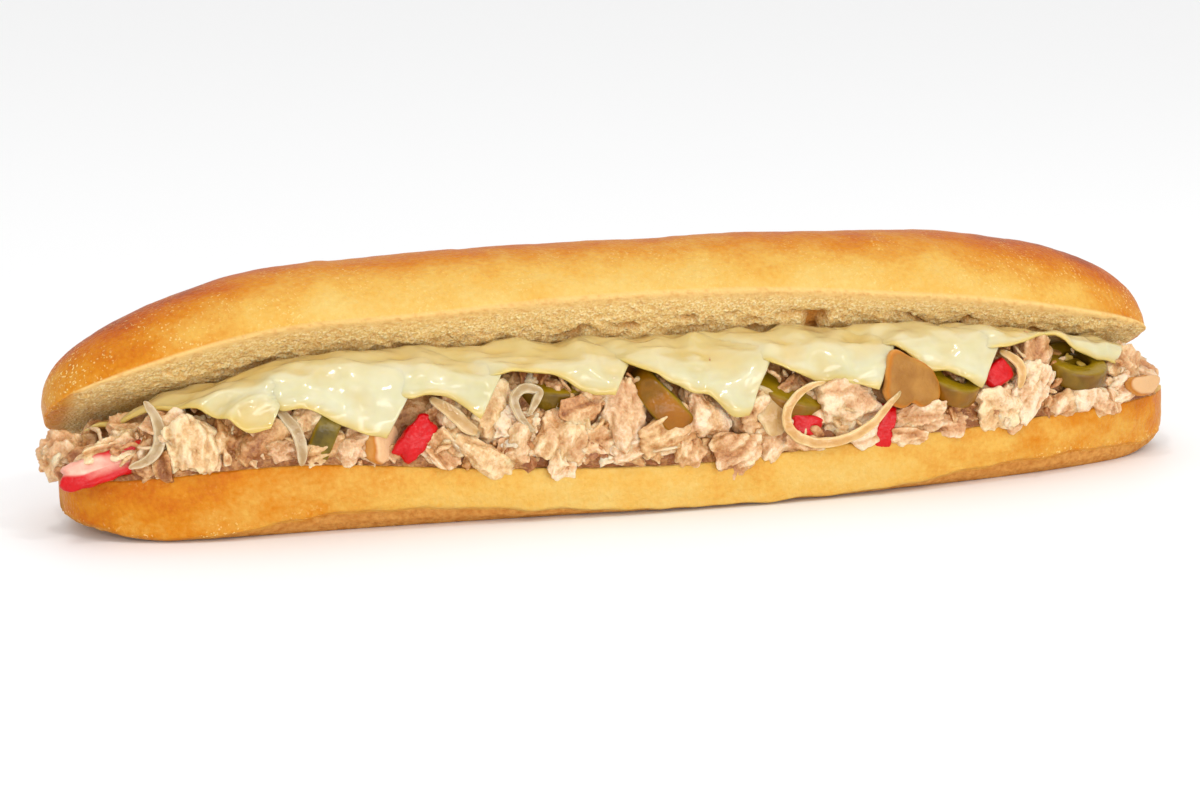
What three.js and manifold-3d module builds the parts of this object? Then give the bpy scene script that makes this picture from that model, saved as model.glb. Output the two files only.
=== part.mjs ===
// A chicken cheesesteak: a foot-long hinged roll, opened like a mouth, with a heap of pulled chicken,
// vegetables and eight draped cheese slices. Millimetres, +Z up, +X along the roll, the open side faces -Y.
import * as THREE from "three";
import { mergeVertices } from "three/addons/utils/BufferGeometryUtils.js";
import Module from "manifold-3d";

const wasm = await Module();
wasm.setup();

// Driving dimensions of the roll. A list holds values at even steps along it, from the left end to the right end.
const HALF_LENGTH = 152.5; // half of a 12 inch roll
const HALF_WIDTH = 35;
const RIM_HEIGHTS = [15, 18, 14.2, 12.2, 14.4, 16, 16.5]; // the lower half's cut, above the table
const CENTRE_LINE = [-1.5, 3, -1.2, -3, -2]; // the roll isn't quite straight
const HINGE_Y = 23.5; // from the centre line back to the hinge
const OPENING = [33, 38, 45, 37, 28.5]; // degrees between the two cut faces
const CROWN_HEIGHT = 31.5; // from the upper half's cut to its top
const CROWN_SHIFT = -3; // the upper half has slid this far along the roll
const END_CURL = 5; // the ends of the base curl up off the table
const PLAN_ROUNDING = [2.7, 2.6]; // powers of the roll's outline from above: larger is squarer
const DOME_ROUNDING = { left: [1.9, 0.31], right: [4.2, 0.37] }; // powers of the upper half's fall to its ends
const DOME_SECTION = 0.85; // power of the upper half's section: 1 is an ellipse, less is squarer
// The lower half's wall from the cut down to the base: how far it stands out, and its share of the height
const HEEL_WALL = [[0, 1], [0.9, 0.8], [1.1, 0.55], [0.5, 0.32], [-1, 0.17], [-4.5, 0]];

// Driving dimensions of the filling
const FILLING_ENDS = [-155, 146];
const FILLING_DEPTH = -2.3; // the chicken's mean surface, below the heap's outline
const FILLING_LUMPS = 1.1; // and how far its lumps rise and fall
const PILE_RISE = [9, 24, 27.5, 29, 27.5, 24, 10]; // the heap above the lower half's cut, at even steps
const PILE_BACK = 17; // how far behind the centre line the heap reaches
const PILE_ROUNDING = 2.6; // power of the heap's section: 2 is an ellipse, more is squarer
const CHEESE_THICK = 1.5;
const SHINGLE = 4.5; // each slice's left edge is raised this much to lie over its neighbour's right edge
const BACK_TURN = 112; // the slices reach this far over the heap
const SKEW = 0.28; // and their edges run this far to the right for each degree that they climb
const PRESS_ROUNDING = 3; // how gently the heap bends where the upper half presses on it
const GAP = 0.35; // clearance between pieces that touch
const STACK = SHINGLE + CHEESE_THICK + GAP; // room for the cheese below the upper half

const rad = THREE.MathUtils.degToRad;

// Smooth value at share 0 to 1 of the way through a list of evenly spaced values
function smoothList(values, share) {
  const s = THREE.MathUtils.clamp(share, 0, 1) * (values.length - 1);
  const i = Math.min(Math.floor(s), values.length - 2);
  const f = s - i;
  const [a, b, c, d] = [-1, 0, 1, 2].map((k) => values[THREE.MathUtils.clamp(i + k, 0, values.length - 1)]);
  return b + 0.5 * f * (c - a + f * (2 * a - 5 * b + 4 * c - d + f * (3 * (b - c) + d - a)));
}

function alongRoll(values, x) {
  return smoothList(values, (x + HALF_LENGTH) / (2 * HALF_LENGTH));
}

// Stations from one end to the other, closer together towards the ends
function stations(from, to, count) {
  const middle = (from + to) / 2;
  const half = (to - from) / 2;
  const station = (i) => middle + half * Math.sin(Math.PI * ((i + 1) / (count + 1) - 0.5));
  return Array.from({ length: count }, (_, i) => station(i));
}

// Share of the full width that the roll keeps at x, and of the upper half's full height
function planShare(x, halfLength = HALF_LENGTH) {
  const [along, across] = PLAN_ROUNDING;
  return (1 - Math.min(1, Math.abs(x / halfLength)) ** along) ** (1 / across);
}

function domeShare(x) {
  const [along, up] = x < 0 ? DOME_ROUNDING.left : DOME_ROUNDING.right;
  return (1 - Math.min(1, Math.abs(x / HALF_LENGTH)) ** along) ** up;
}

function openAngle(x) {
  return rad(alongRoll(OPENING, x));
}

// Carries a point of the closed upper half, (y, z) from the middle of its cut, to where it is with the mouth open
function opened(x, y, z) {
  const angle = openAngle(x);
  return new THREE.Vector3(
    x + CROWN_SHIFT,
    alongRoll(CENTRE_LINE, x) + HINGE_Y + (y - HINGE_Y) * Math.cos(angle) + z * Math.sin(angle),
    alongRoll(RIM_HEIGHTS, x) + (HINGE_Y - y) * Math.sin(angle) + z * Math.cos(angle),
  );
}

// Closes a list of equal rings, each an array of points, with one pole at each end
function loft(rings, firstPole, lastPole) {
  const n = rings[0].length;
  const points = [firstPole, ...rings.flat(), lastPole];
  const last = points.length - 1;
  const index = [];
  for (let j = 0; j < n; j++) {
    const k = (j + 1) % n;
    index.push(0, 1 + k, 1 + j);
    for (let i = 0; i + 1 < rings.length; i++) {
      const a = 1 + i * n;
      index.push(a + j, a + k, a + n + k, a + j, a + n + k, a + n + j);
    }
    const end = 1 + (rings.length - 1) * n;
    index.push(last, end + j, end + k);
  }
  return new THREE.BufferGeometry().setFromPoints(points).setIndex(index);
}

// A closed geometry as a manifold-3d solid that faces out
function solidOf(geometry) {
  const bare = geometry.clone();
  bare.deleteAttribute("normal");
  bare.deleteAttribute("uv");
  const merged = mergeVertices(bare, 1e-4);
  const vertProperties = merged.attributes.position.array;
  const triVerts = new Uint32Array(merged.index.array);
  const solid = new wasm.Manifold(new wasm.Mesh({ numProp: 3, vertProperties, triVerts }));
  if (solid.volume() > 0) return solid;
  const turned = triVerts.map((_, i) => triVerts[i - (i % 3) + [0, 2, 1][i % 3]]);
  return new wasm.Manifold(new wasm.Mesh({ numProp: 3, vertProperties, triVerts: turned }));
}

function geometryOf(solid) {
  const mesh = solid.getMesh();
  return new THREE.BufferGeometry()
    .setAttribute("position", new THREE.BufferAttribute(mesh.vertProperties, 3))
    .setIndex(new THREE.BufferAttribute(mesh.triVerts, 1));
}

function largestBody(solid) {
  return solid.decompose().reduce((best, body) => (body.volume() > best.volume() ? body : best));
}

// The lower half: flat underneath, with a seam and an undercut where its wall meets the base
function heelRing(x, grow) {
  const share = planShare(x);
  const half = HALF_WIDTH * share + grow;
  const middle = alongRoll(CENTRE_LINE, x);
  const rim = alongRoll(RIM_HEIGHTS, x) + grow;
  const curl = END_CURL * Math.max(0, (Math.abs(x) / HALF_LENGTH - 0.85) / 0.15) ** 2;
  const side = HEEL_WALL.map(([out, up]) => [half + out * share, curl + (rim - curl) * up - grow * (1 - up)]);
  const front = side.map(([y, z]) => new THREE.Vector3(x, middle - y, z));
  const back = side.map(([y, z]) => new THREE.Vector3(x, middle + y, z)).reverse();
  const cut = new THREE.Vector3(x, middle, rim);
  return [...front, ...back, cut];
}

function heel(grow = 0) {
  const reach = HALF_LENGTH + grow;
  const tip = (x) => new THREE.Vector3(x, alongRoll(CENTRE_LINE, x), 0.72 * alongRoll(RIM_HEIGHTS, x));
  const rings = stations(-HALF_LENGTH, HALF_LENGTH, 27).map((x) => heelRing(x, grow));
  return solidOf(loft(rings, tip(-reach), tip(reach)));
}

// The upper half: a domed crust over a flat cut face
function crownRing(x, grow) {
  const half = HALF_WIDTH * planShare(x) + grow;
  const height = CROWN_HEIGHT * domeShare(x) + grow;
  const steps = 12;
  const dome = Array.from({ length: steps + 1 }, (_, i) => {
    const turn = (Math.PI * i) / steps;
    const across = -Math.sign(Math.cos(turn)) * Math.abs(Math.cos(turn)) ** DOME_SECTION;
    return opened(x, half * across, height * Math.sin(turn) ** DOME_SECTION - grow * Math.abs(across));
  });
  return [...dome, opened(x, 0, -grow)];
}

function crown(grow = 0) {
  const reach = HALF_LENGTH + grow;
  const rings = stations(-HALF_LENGTH, HALF_LENGTH, 27).map((x) => crownRing(x, grow));
  return solidOf(loft(rings, opened(-reach, 0, 3), opened(reach, 0, 3)));
}

function bread(grow = 0) {
  return heel(grow).add(crown(grow));
}

// A point on the heap under the cheese. The turn runs in degrees from the front foot (0), over the top (90), to
// the back foot (180). Under the upper half, the heap is pressed flat and leaves room for the cheese.
function heapPoint(x, turn) {
  const front = HALF_WIDTH * planShare(x, HALF_LENGTH + 1.5);
  const back = Math.min(PILE_BACK, 0.75 * front);
  const middle = alongRoll(CENTRE_LINE, x);
  const rim = alongRoll(RIM_HEIGHTS, x);
  const across = -Math.sign(Math.cos(rad(turn))) * Math.abs(Math.cos(rad(turn))) ** (2 / PILE_ROUNDING);
  const up = Math.abs(Math.sin(rad(turn))) ** (2 / PILE_ROUNDING);
  const y = middle + (back - front) / 2 + ((back + front) / 2) * across;
  const angle = openAngle(x - CROWN_SHIFT);
  const face = rim + (middle + HINGE_Y - y) * Math.tan(angle);
  const free = rim + GAP + alongRoll(PILE_RISE, x) * up;
  const pressed = face - STACK / Math.cos(angle);
  return new THREE.Vector3(x, y, (free + pressed - Math.hypot(free - pressed, PRESS_ROUNDING)) / 2);
}

// The same point moved out of the heap by the lift, square to the heap's outline there
function liftedPoint(x, turn, lift) {
  const point = heapPoint(x, turn);
  const ahead = heapPoint(x, turn + 2).sub(heapPoint(x, turn - 2)).normalize();
  return point.add(new THREE.Vector3(0, -ahead.z, ahead.y).multiplyScalar(lift));
}

// Pulled chicken, a loose uneven heap that spills a little out of both ends
function fillingRing(x) {
  const steps = 15;
  const foot = alongRoll(RIM_HEIGHTS, x) + GAP;
  return Array.from({ length: steps + 1 }, (_, i) => {
    const turn = (180 * i) / steps;
    const lump = Math.sin(x / 5.1 + 2 * Math.sin(turn / 19)) * Math.cos(turn / 13 + x / 17);
    const point = liftedPoint(x, turn, FILLING_DEPTH + FILLING_LUMPS * lump);
    return new THREE.Vector3(x, point.y, Math.max(point.z, foot + 0.2 * Math.sin(rad(turn))));
  });
}

function filling() {
  const [left, right] = FILLING_ENDS;
  const rings = stations(left, right, 31).map(fillingRing);
  const tip = (x) => new THREE.Vector3(x, alongRoll(CENTRE_LINE, x) - 2, alongRoll(RIM_HEIGHTS, x) + 4);
  return solidOf(loft(rings, tip(left), tip(right)));
}

// Each slice is a four-sided sheet laid cornerwise, and its left edge, deep under the upper half, is short. The
// turns are those of its lower left edge, at even steps from its left corner to the corner that hangs in front.
const SLICES = [
  { left: -147, corner: -106, front: [84, 76, 70, 62, 52, 40, 28, 17, 18] },
  { left: -119, corner: -77, front: [75, 58, 43, 27, 27, 21, 15, 12, 10] },
  { left: -100, corner: -53.5, front: [72, 60, 49, 41, 35, 30, 33, 30, 20] },
  { left: -69, corner: -18.5, front: [76, 64, 51, 44, 45, 46, 41, 33, 31] },
  { left: -25, corner: 16, front: [84, 70, 53, 43, 37, 31, 28, 17, 16] },
  { left: 6, corner: 52, front: [76, 66, 54, 44, 36, 30, 29, 26, 21] },
  { left: 44, corner: 82.5, front: [74, 64, 55, 46, 37, 29, 28, 22, 16] },
  { left: 72, corner: 128, front: [68, 55, 40, 40, 45, 49, 38, 33, 33] },
];

// A closed sheet from its upper and lower faces, each a grid of points made from shares across and deep
function sheet(across, deep, upperPoint, lowerPoint) {
  const row = deep + 1;
  const size = (across + 1) * row;
  const shares = Array.from({ length: size }, (_, i) => [Math.floor(i / row) / across, (i % row) / deep]);
  const points = [...shares.map(([u, v]) => upperPoint(u, v)), ...shares.map(([u, v]) => lowerPoint(u, v))];
  const index = [];
  const quad = (a, b, c, d) => index.push(a, b, c, a, c, d);
  for (let i = 0; i < across; i++) {
    quad(i * row, i * row + size, (i + 1) * row + size, (i + 1) * row);
    quad((i + 1) * row + deep, (i + 1) * row + deep + size, i * row + deep + size, i * row + deep);
    for (let j = 0; j < deep; j++) {
      const a = i * row + j;
      quad(a, a + row, a + row + 1, a + 1);
      quad(a + size, a + 1 + size, a + row + 1 + size, a + row + size);
    }
  }
  for (let j = 0; j < deep; j++) {
    quad(j + 1, j + 1 + size, j + size, j);
    quad(across * row + j, across * row + j + size, across * row + j + 1 + size, across * row + j + 1);
  }
  return new THREE.BufferGeometry().setFromPoints(points).setIndex(index);
}

function cheeseSlice({ left, corner, front }, grow = 0) {
  const surfacePoint = (u, v, lift) => {
    const frontTurn = smoothList(front, u) - 2 * grow;
    const turn = frontTurn + (BACK_TURN + 3 * grow - frontTurn) * v;
    const x = left - grow + (corner - left + 2 * grow) * u + SKEW * (turn - frontTurn);
    return liftedPoint(x, turn, SHINGLE * (1 - u) + lift);
  };
  const upper = (u, v) => surfacePoint(u, v, CHEESE_THICK + grow);
  const lower = (u, v) => surfacePoint(u, v, -grow);
  return solidOf(sheet(8, 7, upper, lower));
}

// A ring cut across a jalapeño, its axis along Z. When it is grown to cut its neighbours, its hole is closed.
function jalapenoRing({ outer, inner, thick }, grow) {
  const [rim, hole, half] = [outer + grow, grow > 0 ? 0 : inner, thick / 2 + grow];
  const section = [[hole, -half], [rim - 0.9, -half], [rim, 0], [rim - 0.9, half], [hole, half], [hole, -half]];
  return new THREE.LatheGeometry(section.map(([r, z]) => new THREE.Vector2(r, z)), 14).rotateX(Math.PI / 2);
}

// A slice of mushroom. The radii are those of its outline, at even angles around it.
function mushroomSlice({ radii, thick }, grow) {
  const corners = radii.map((radius, i) => {
    const angle = (2 * Math.PI * i) / radii.length;
    return new THREE.Vector3(Math.cos(angle), Math.sin(angle), 0).multiplyScalar(radius + grow);
  });
  const outline = new THREE.CatmullRomCurve3(corners, true).getPoints(2 * radii.length).slice(1);
  const depth = thick + 2 * grow;
  const slab = new THREE.ExtrudeGeometry(new THREE.Shape(outline), { depth, bevelEnabled: false });
  return slab.translate(0, 0, -depth / 2);
}

// A strip of red pepper that lies along X and bulges towards +Z
function pepperStrip({ long, wide, thick, bulge }, grow) {
  const box = new THREE.BoxGeometry(long + 2 * grow, wide + 2 * grow, thick + 2 * grow, 4, 1, 1);
  const position = box.attributes.position;
  for (let i = 0; i < position.count; i++) {
    const x = position.getX(i) / (long / 2);
    position.setY(i, position.getY(i) * (1 - 0.35 * x ** 4));
    position.setZ(i, position.getZ(i) - bulge * x * x);
  }
  return box;
}

// A flat strand of onion along a smooth path of [x, y, z] points, wide as seen from +Z
function onionStrand({ path, wide, thick }, grow) {
  const curve = new THREE.CatmullRomCurve3(path.map((point) => new THREE.Vector3(...point)));
  const steps = 3 * (path.length - 1);
  const sides = 5;
  const rings = Array.from({ length: steps - 1 }, (_, i) => {
    const centre = curve.getPoint((i + 1) / steps);
    const across = curve.getTangent((i + 1) / steps).cross(new THREE.Vector3(0, 0, 1)).normalize();
    return Array.from({ length: sides }, (_, j) => {
      const turn = (2 * Math.PI * j) / sides;
      return centre
        .clone()
        .addScaledVector(across, (wide / 2 + grow) * Math.cos(turn))
        .add(new THREE.Vector3(0, 0, (thick / 2 + grow) * Math.sin(turn)));
    });
  });
  return loft(rings, curve.getPoint(0), curve.getPoint(1));
}

// Vegetables that show in front. Each lies on the heap at x and turn, sunk or raised by the lift. It first faces
// the open side; then, in degrees, it is spun about its own axis, tipped to face up, leaned down to the right and
// yawed along the roll.
const VEGETABLES = {
  jalapeno_ring: {
    shape: jalapenoRing,
    pieces: [
      { x: -91, turn: 14, lift: -7, tip: -18, yaw: 82, outer: 9.5, inner: 4, thick: 6 },
      { x: -31, turn: 60, lift: -7.5, tip: 74, lean: -4, outer: 11.5, inner: 4, thick: 6 },
      { x: -3, turn: 30, lift: -8, tip: 42, yaw: 80, outer: 11.5, inner: 5, thick: 7.5 },
      { x: 31, turn: 33, lift: -7.5, tip: 62, lean: 14, outer: 11.5, inner: 4, thick: 7 },
      { x: 76, turn: 22, lift: -3.5, tip: 66, lean: 8, yaw: 8, outer: 8.2, inner: 3.3, thick: 5.5 },
      { x: 115.5, turn: 32, lift: -3.5, tip: 72, lean: 4, outer: 9, inner: 3.6, thick: 5.5 },
    ],
  },
  mushroom_slice: {
    shape: mushroomSlice,
    pieces: [
      { x: -77.5, turn: 7, lift: -2.2, tip: 0, yaw: 38, thick: 5,
        radii: [4.8, 5.5, 5.5, 4.8, 5.5, 5.5, 4.8, 5.5, 5.5, 4.8, 5.5, 5.5] },
      { x: 62, turn: 24.5, lift: 1.6, tip: 8, yaw: 6, thick: 4,
        radii: [7.6, 6.4, 5.8, 6.4, 9.8, 8.6, 8, 8.8, 7.6, 5.6, 8.4, 9.2] },
      { x: 136, turn: 15, lift: 2.5, tip: 14, yaw: 14, thick: 4,
        radii: [5.6, 2.6, 1.4, 1.2, 1.4, 2.6, 5.6, 5, 4.4, 4.2, 4.4, 5] },
    ],
  },
  red_pepper: {
    shape: pepperStrip,
    pieces: [
      { x: -143, turn: 15, lift: 0.2, tip: 12, spin: 14, long: 24, wide: 7.2, thick: 3, bulge: 1.5 },
      { x: -69.3, turn: 10, lift: 0, tip: 10, spin: 50, long: 12.5, wide: 6.8, thick: 3.5, bulge: 1 },
      { x: 32.5, turn: 8, lift: -0.5, tip: 5, spin: -15, long: 8.5, wide: 6, thick: 3, bulge: 0.5 },
      { x: 54.5, turn: 3, lift: -0.3, tip: 5, spin: 76, long: 12, wide: 5.2, thick: 3, bulge: 0.8 },
      { x: 89, turn: 24, lift: -0.5, tip: 15, spin: 30, long: 8, wide: 6.5, thick: 3, bulge: 0.5 },
    ],
  },
  onion_strand: {
    shape: onionStrand,
    pieces: [
      { x: -134, turn: 27, lift: 1.4, tip: 20, wide: 3, thick: 1.3,
        path: [[0, 11, -1.5], [1.8, 7, 0.5], [2.6, 3, 1], [1.8, -1, 0.9], [-1, -3.8, 0.6], [-5.6, -5.2, 0]] },
      { x: -100, turn: 9, lift: 1.2, tip: 10, wide: 3, thick: 1.2,
        path: [[-4, 9, -1], [0, 4, 0.6], [1.8, -1, 0.8], [1.6, -6, 0]] },
      { x: -59, turn: 22, lift: 0.2, tip: 25, wide: 3.6, thick: 1.2,
        path: [[-6, 5, 0], [-1.3, 1, 0.8], [2.2, -3, 0.8], [5, -4.6, 0]] },
      { x: -41.5, turn: 27, lift: 0.6, tip: 20, wide: 2.4, thick: 2.2,
        path: [[2, -7, 0], [-1.5, -3, 0.6], [-3, 1.5, 1], [-0.5, 4.2, 1], [3.5, 3.2, 1], [2, 0, 1.4],
          [0.3, -2.5, 1.2]] },
      { x: -28, turn: 16, lift: -0.6, tip: 15, wide: 3.4, thick: 1.2,
        path: [[-3, 4.5, 0], [0.5, 2, 0.8], [1.5, -1.5, 0.6], [0, -4.5, 0]] },
      { x: 22, turn: 15, lift: -0.6, tip: 12, wide: 8, thick: 1.2,
        path: [[-4, 7, -1], [-0.5, 3, 0.4], [1.5, -1, 0.8], [2, -5.5, 0.2]] },
      { x: 35.5, turn: 12, lift: 2.2, tip: 0, wide: 2.7, thick: 1.2,
        path: [[1.5, 8.8, -0.6], [-4.4, 7.4, 0], [-9.2, 2.6, 0.3], [-8.4, -3, 0.3], [-2.5, -6.6, 0.4],
          [6, -6.6, 0.6], [13.5, -3.4, 0.8], [19, 1.8, 0.6], [22.5, 5, 0]] },
      { x: 93, turn: 23, lift: 0.4, tip: 15, wide: 2.6, thick: 1.2,
        path: [[-3, 6.5, -0.5], [1, 3.5, 0.6], [2.2, 0, 0.8], [1.5, -4, 0.2]] },
    ],
  },
};

// A vegetable's solid at its place on the heap, grown on all sides when it is only there to cut its neighbours
function placed(shape, { x, turn, lift, tip, spin = 0, lean = 0, yaw = 0, ...sizes }, grow = 0) {
  const at = liftedPoint(x, turn, lift);
  const geometry = shape(sizes, grow);
  geometry.rotateZ(rad(spin)).rotateX(rad(90 - tip)).rotateY(rad(lean)).rotateZ(rad(yaw));
  geometry.translate(at.x, at.y, at.z);
  return solidOf(geometry);
}

const LOOKS = {
  bread: { color: 0xe9a54b, roughness: 0.55 },
  cheese_slice: { color: 0xede3b4, roughness: 0.35 },
  jalapeno_ring: { color: 0x8c6f1a, roughness: 0.35 },
  mushroom_slice: { color: 0xbc863b, roughness: 0.5 },
  red_pepper: { color: 0xdc2a32, roughness: 0.3 },
  onion_strand: { color: 0xe6bd83, roughness: 0.35 },
  chicken_filling: { color: 0xe4bd8c, roughness: 0.6 },
};

const sandwich = new THREE.Group();

function add(name, solid, kind) {
  const mesh = new THREE.Mesh(geometryOf(solid), new THREE.MeshStandardMaterial({ metalness: 0, ...LOOKS[kind] }));
  mesh.name = name;
  sandwich.add(mesh);
}

// Every piece keeps clear of the ones that were laid before it: first the roll, then the cheese, the vegetables
// and last the chicken, which fills what is left
add("bread", bread(), "bread");
let taken = bread(GAP);

SLICES.forEach((slice, i) => {
  const above = SLICES[i + 1] ? cheeseSlice(SLICES[i + 1], GAP) : bread(GAP);
  add(`cheese_slice_${i + 1}`, cheeseSlice(slice).subtract(above), "cheese_slice");
  taken = taken.add(cheeseSlice(slice, GAP));
});

for (const [kind, { shape, pieces }] of Object.entries(VEGETABLES)) {
  pieces.forEach((piece, i) => {
    add(`${kind}_${i + 1}`, largestBody(placed(shape, piece).subtract(taken)), kind);
    taken = taken.add(placed(shape, piece, GAP));
  });
}

add("chicken_filling", largestBody(filling().subtract(taken)), "chicken_filling");

// The origin is on the table, under the middle of the whole sandwich
const extent = new THREE.Box3().setFromObject(sandwich);
const middle = extent.getCenter(new THREE.Vector3());
sandwich.position.set(-middle.x, -middle.y, -extent.min.z);

export default sandwich;
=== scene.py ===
"""The looks of a chicken cheesesteak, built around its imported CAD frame.

Shapes are worked out in millimetres in the roll's own frame: +X along the roll, -Y out of its open side and
+Z up.
"""
import math

import bmesh
import bpy
import numpy as np
from mathutils import Euler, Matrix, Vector


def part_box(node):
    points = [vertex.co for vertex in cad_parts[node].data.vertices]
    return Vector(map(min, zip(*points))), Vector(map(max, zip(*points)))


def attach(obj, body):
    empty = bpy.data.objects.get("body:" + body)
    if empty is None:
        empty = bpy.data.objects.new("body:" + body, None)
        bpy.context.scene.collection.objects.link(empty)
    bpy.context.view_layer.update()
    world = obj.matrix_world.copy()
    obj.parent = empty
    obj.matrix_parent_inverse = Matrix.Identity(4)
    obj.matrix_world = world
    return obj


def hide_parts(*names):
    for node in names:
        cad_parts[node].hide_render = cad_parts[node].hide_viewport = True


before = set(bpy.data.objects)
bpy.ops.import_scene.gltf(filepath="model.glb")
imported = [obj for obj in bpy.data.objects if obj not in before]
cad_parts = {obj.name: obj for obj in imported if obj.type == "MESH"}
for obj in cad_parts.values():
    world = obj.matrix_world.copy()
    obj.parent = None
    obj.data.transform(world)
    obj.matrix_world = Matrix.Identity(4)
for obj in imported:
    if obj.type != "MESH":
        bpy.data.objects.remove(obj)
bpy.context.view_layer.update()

MM = 0.001

# Driving dimensions of the roll, as in the CAD part. A list holds values at even steps along it, from left to
# right.
HALF_LENGTH = 152.5
HALF_WIDTH = 35
RIM_HEIGHTS = [15, 18, 14.2, 12.2, 14.4, 16, 16.5]  # of the lower half's cut face
CENTRE_LINE = [-1.5, 3, -1.2, -3, -2]  # how far back the roll bows
HINGE_Y = 23.5  # where the halves meet
OPENING = [33, 38, 45, 37, 28.5]  # of the upper half, in degrees
CROWN_HEIGHT = 31.5  # of the upper half's dome over its cut face
CROWN_SHIFT = -3  # of the upper half along the roll
END_CURL = 5  # how far the lower half's underside rises at its ends
PLAN_ROUNDING = (2.7, 2.6)  # powers of the outline from above, along and across
DOME_ROUNDING = {"left": (1.9, 0.31), "right": (4.2, 0.37)}  # powers of the dome from the side, along and up
DOME_SECTION = 0.85  # power of the dome's section, which is boxier the closer this is to 0
# Height of the seam where the lower half's crust ends over its rough underside, as a share of its height
SEAM = [0.06, 0.06, 0.3, 0.27, 0.1, 0.04, 0.08, 0.25, 0.3, 0.12]
# Where the crumb of the upper half meets the cheese, as a share of the half width
CONTACT = [-0.36, -0.52, -0.6, -0.56, -0.42]
CRUMB_VISIBLE = 0.25  # the crumb shows from the front rim to this share of the half width

# Driving dimensions of the filling
FILLING_ENDS = (-154, 144)
PILE_RISE = [9, 24, 27.5, 29, 27.5, 24, 10]  # of the heap over the lower half
PILE_BACK = 17  # how far behind the centre line its back foot is
PILE_ROUNDING = 2.6  # power of its section, which is boxier the larger this is
PRESS_ROUNDING = 3  # of its bend where the upper half presses on it
GAP = 0.35  # between it and the lower half
STACK = 4.5  # the room for cheese between it and the upper half
CHEESE_THICK = 1.3
CHEESE_LIFT = 1.4  # of a slice off the heap
SHINGLE = 1.6  # how much further off its left end is, over the slice before

# The roll's own frame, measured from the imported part's origin
BACK_Y = 41.91  # the back of the upper half in the roll's own frame
BREAD_LOW, BREAD_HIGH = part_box("bread")
ORIGIN = np.array([
    BREAD_LOW[0] / MM + HALF_LENGTH - CROWN_SHIFT,
    BREAD_HIGH[1] / MM - BACK_Y,
    BREAD_LOW[2] / MM,
])


# ---- numbers

def smooth_list(values, share):
    """Smooth value at shares 0 to 1 of the way through a list of evenly spaced values."""
    values = np.asarray(values, float)
    last = len(values) - 1
    s = np.clip(share, 0, 1) * last
    i = np.minimum(np.floor(s).astype(int), last - 1)
    f = s - i
    a, b, c, d = (values[np.clip(i + k, 0, last)] for k in (-1, 0, 1, 2))
    return b + 0.5 * f * (c - a + f * (2 * a - 5 * b + 4 * c - d + f * (3 * (b - c) + d - a)))


def smooth_loop(values, share):
    """Smooth value at shares 0 to 1 of the way around a closed list of evenly spaced values."""
    count = len(values)
    around = np.array(values[-2:] + values + values[:3], float)
    return smooth_list(around, (2 + share * count) / (count + 4))


def smoothstep(low, high, x):
    t = np.clip((np.asarray(x, float) - low) / (high - low), 0, 1)
    return t * t * (3 - 2 * t)


GRADIENTS = np.random.default_rng(7).normal(size=(256, 3))
GRADIENTS /= np.linalg.norm(GRADIENTS, axis=1)[:, None]


def cell_hash(cell, seed):
    """A random whole number for each cell of whole-number coordinates."""
    key = cell @ np.array([73856093, 19349663, 83492791]) + seed * 265443576
    key = (key ^ (key >> 13)) * 1274126177 & 0x7FFFFFFF
    return key ^ (key >> 15)


def noise(points, seed=0):
    """Gradient noise of about -1 to 1 at points of shape (..., 3)."""
    cell = np.floor(points).astype(np.int64)
    f = points - cell
    blend = f * f * f * (f * (f * 6 - 15) + 10)
    total = 0
    for corner in np.ndindex(2, 2, 2):
        step = np.array(corner)
        slope = GRADIENTS[cell_hash(cell + step, seed) & 255]
        weight = np.prod(np.where(step == 1, blend, 1 - blend), axis=-1)
        total = total + weight * np.sum(slope * (f - step), axis=-1)
    return 1.6 * total


def layered(points, layers, seed=0):
    """Noise with finer and weaker layers on top of it."""
    total = sum(noise(points * 2 ** k, seed + k) / 2 ** k for k in range(layers))
    return total / (2 - 2 ** (1 - layers))


def bubbles(points, seed=0):
    """Distance to the nearest of random centres, one in each unit cell."""
    cell = np.floor(points).astype(np.int64)
    nearest = np.full(points.shape[:-1], 9.0)
    for corner in np.ndindex(3, 3, 3):
        there = cell + np.array(corner) - 1
        key = cell_hash(there, seed)
        centre = there + np.stack([key & 255, (key >> 8) & 255, (key >> 16) & 255], -1) / 255
        nearest = np.minimum(nearest, np.linalg.norm(points - centre, axis=-1))
    return nearest


def billows(points, layers, seed=0):
    """Rounded lumps of about 0 to 1 with sharp creases between them, in finer and finer layers."""
    total = sum(np.abs(noise(points * 2 ** k, seed + k)) / 2 ** k for k in range(layers))
    return 1.6 * total / (2 - 2 ** (1 - layers))


def unit(vectors):
    return vectors / np.maximum(1e-9, np.linalg.norm(vectors, axis=-1, keepdims=True))


def spots(*places):
    """Points of shape (..., 3) from their coordinates, each of which is an array or one number for all."""
    return np.stack(np.broadcast_arrays(*places), -1).astype(float)


def signed_power(values, power):
    return np.sign(values) * np.abs(values) ** power


def even_angles(count):
    return np.linspace(0, 2 * math.pi, count, endpoint=False)


def stations(low, high, count):
    """Stations from one end to the other, closer together towards the ends."""
    i = np.arange(1, count + 1)
    return (low + high) / 2 + (high - low) / 2 * np.sin(math.pi * (i / (count + 1) - 0.5))


def jostled(points, amount, size, seed, shift=0, apart=7):
    """Points moved about at random by an amount, in lumps of a size."""
    return points + amount * np.stack([noise(points / size + apart * k + shift, seed) for k in range(3)], -1)


# ---- the roll's and the heap's shape

def along_roll(values, x):
    return smooth_list(values, (np.asarray(x) + HALF_LENGTH) / (2 * HALF_LENGTH))


def plan_share(x, half_length=HALF_LENGTH):
    along, across = PLAN_ROUNDING
    return (1 - np.minimum(1, np.abs(x) / half_length) ** along) ** (1 / across)


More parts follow.
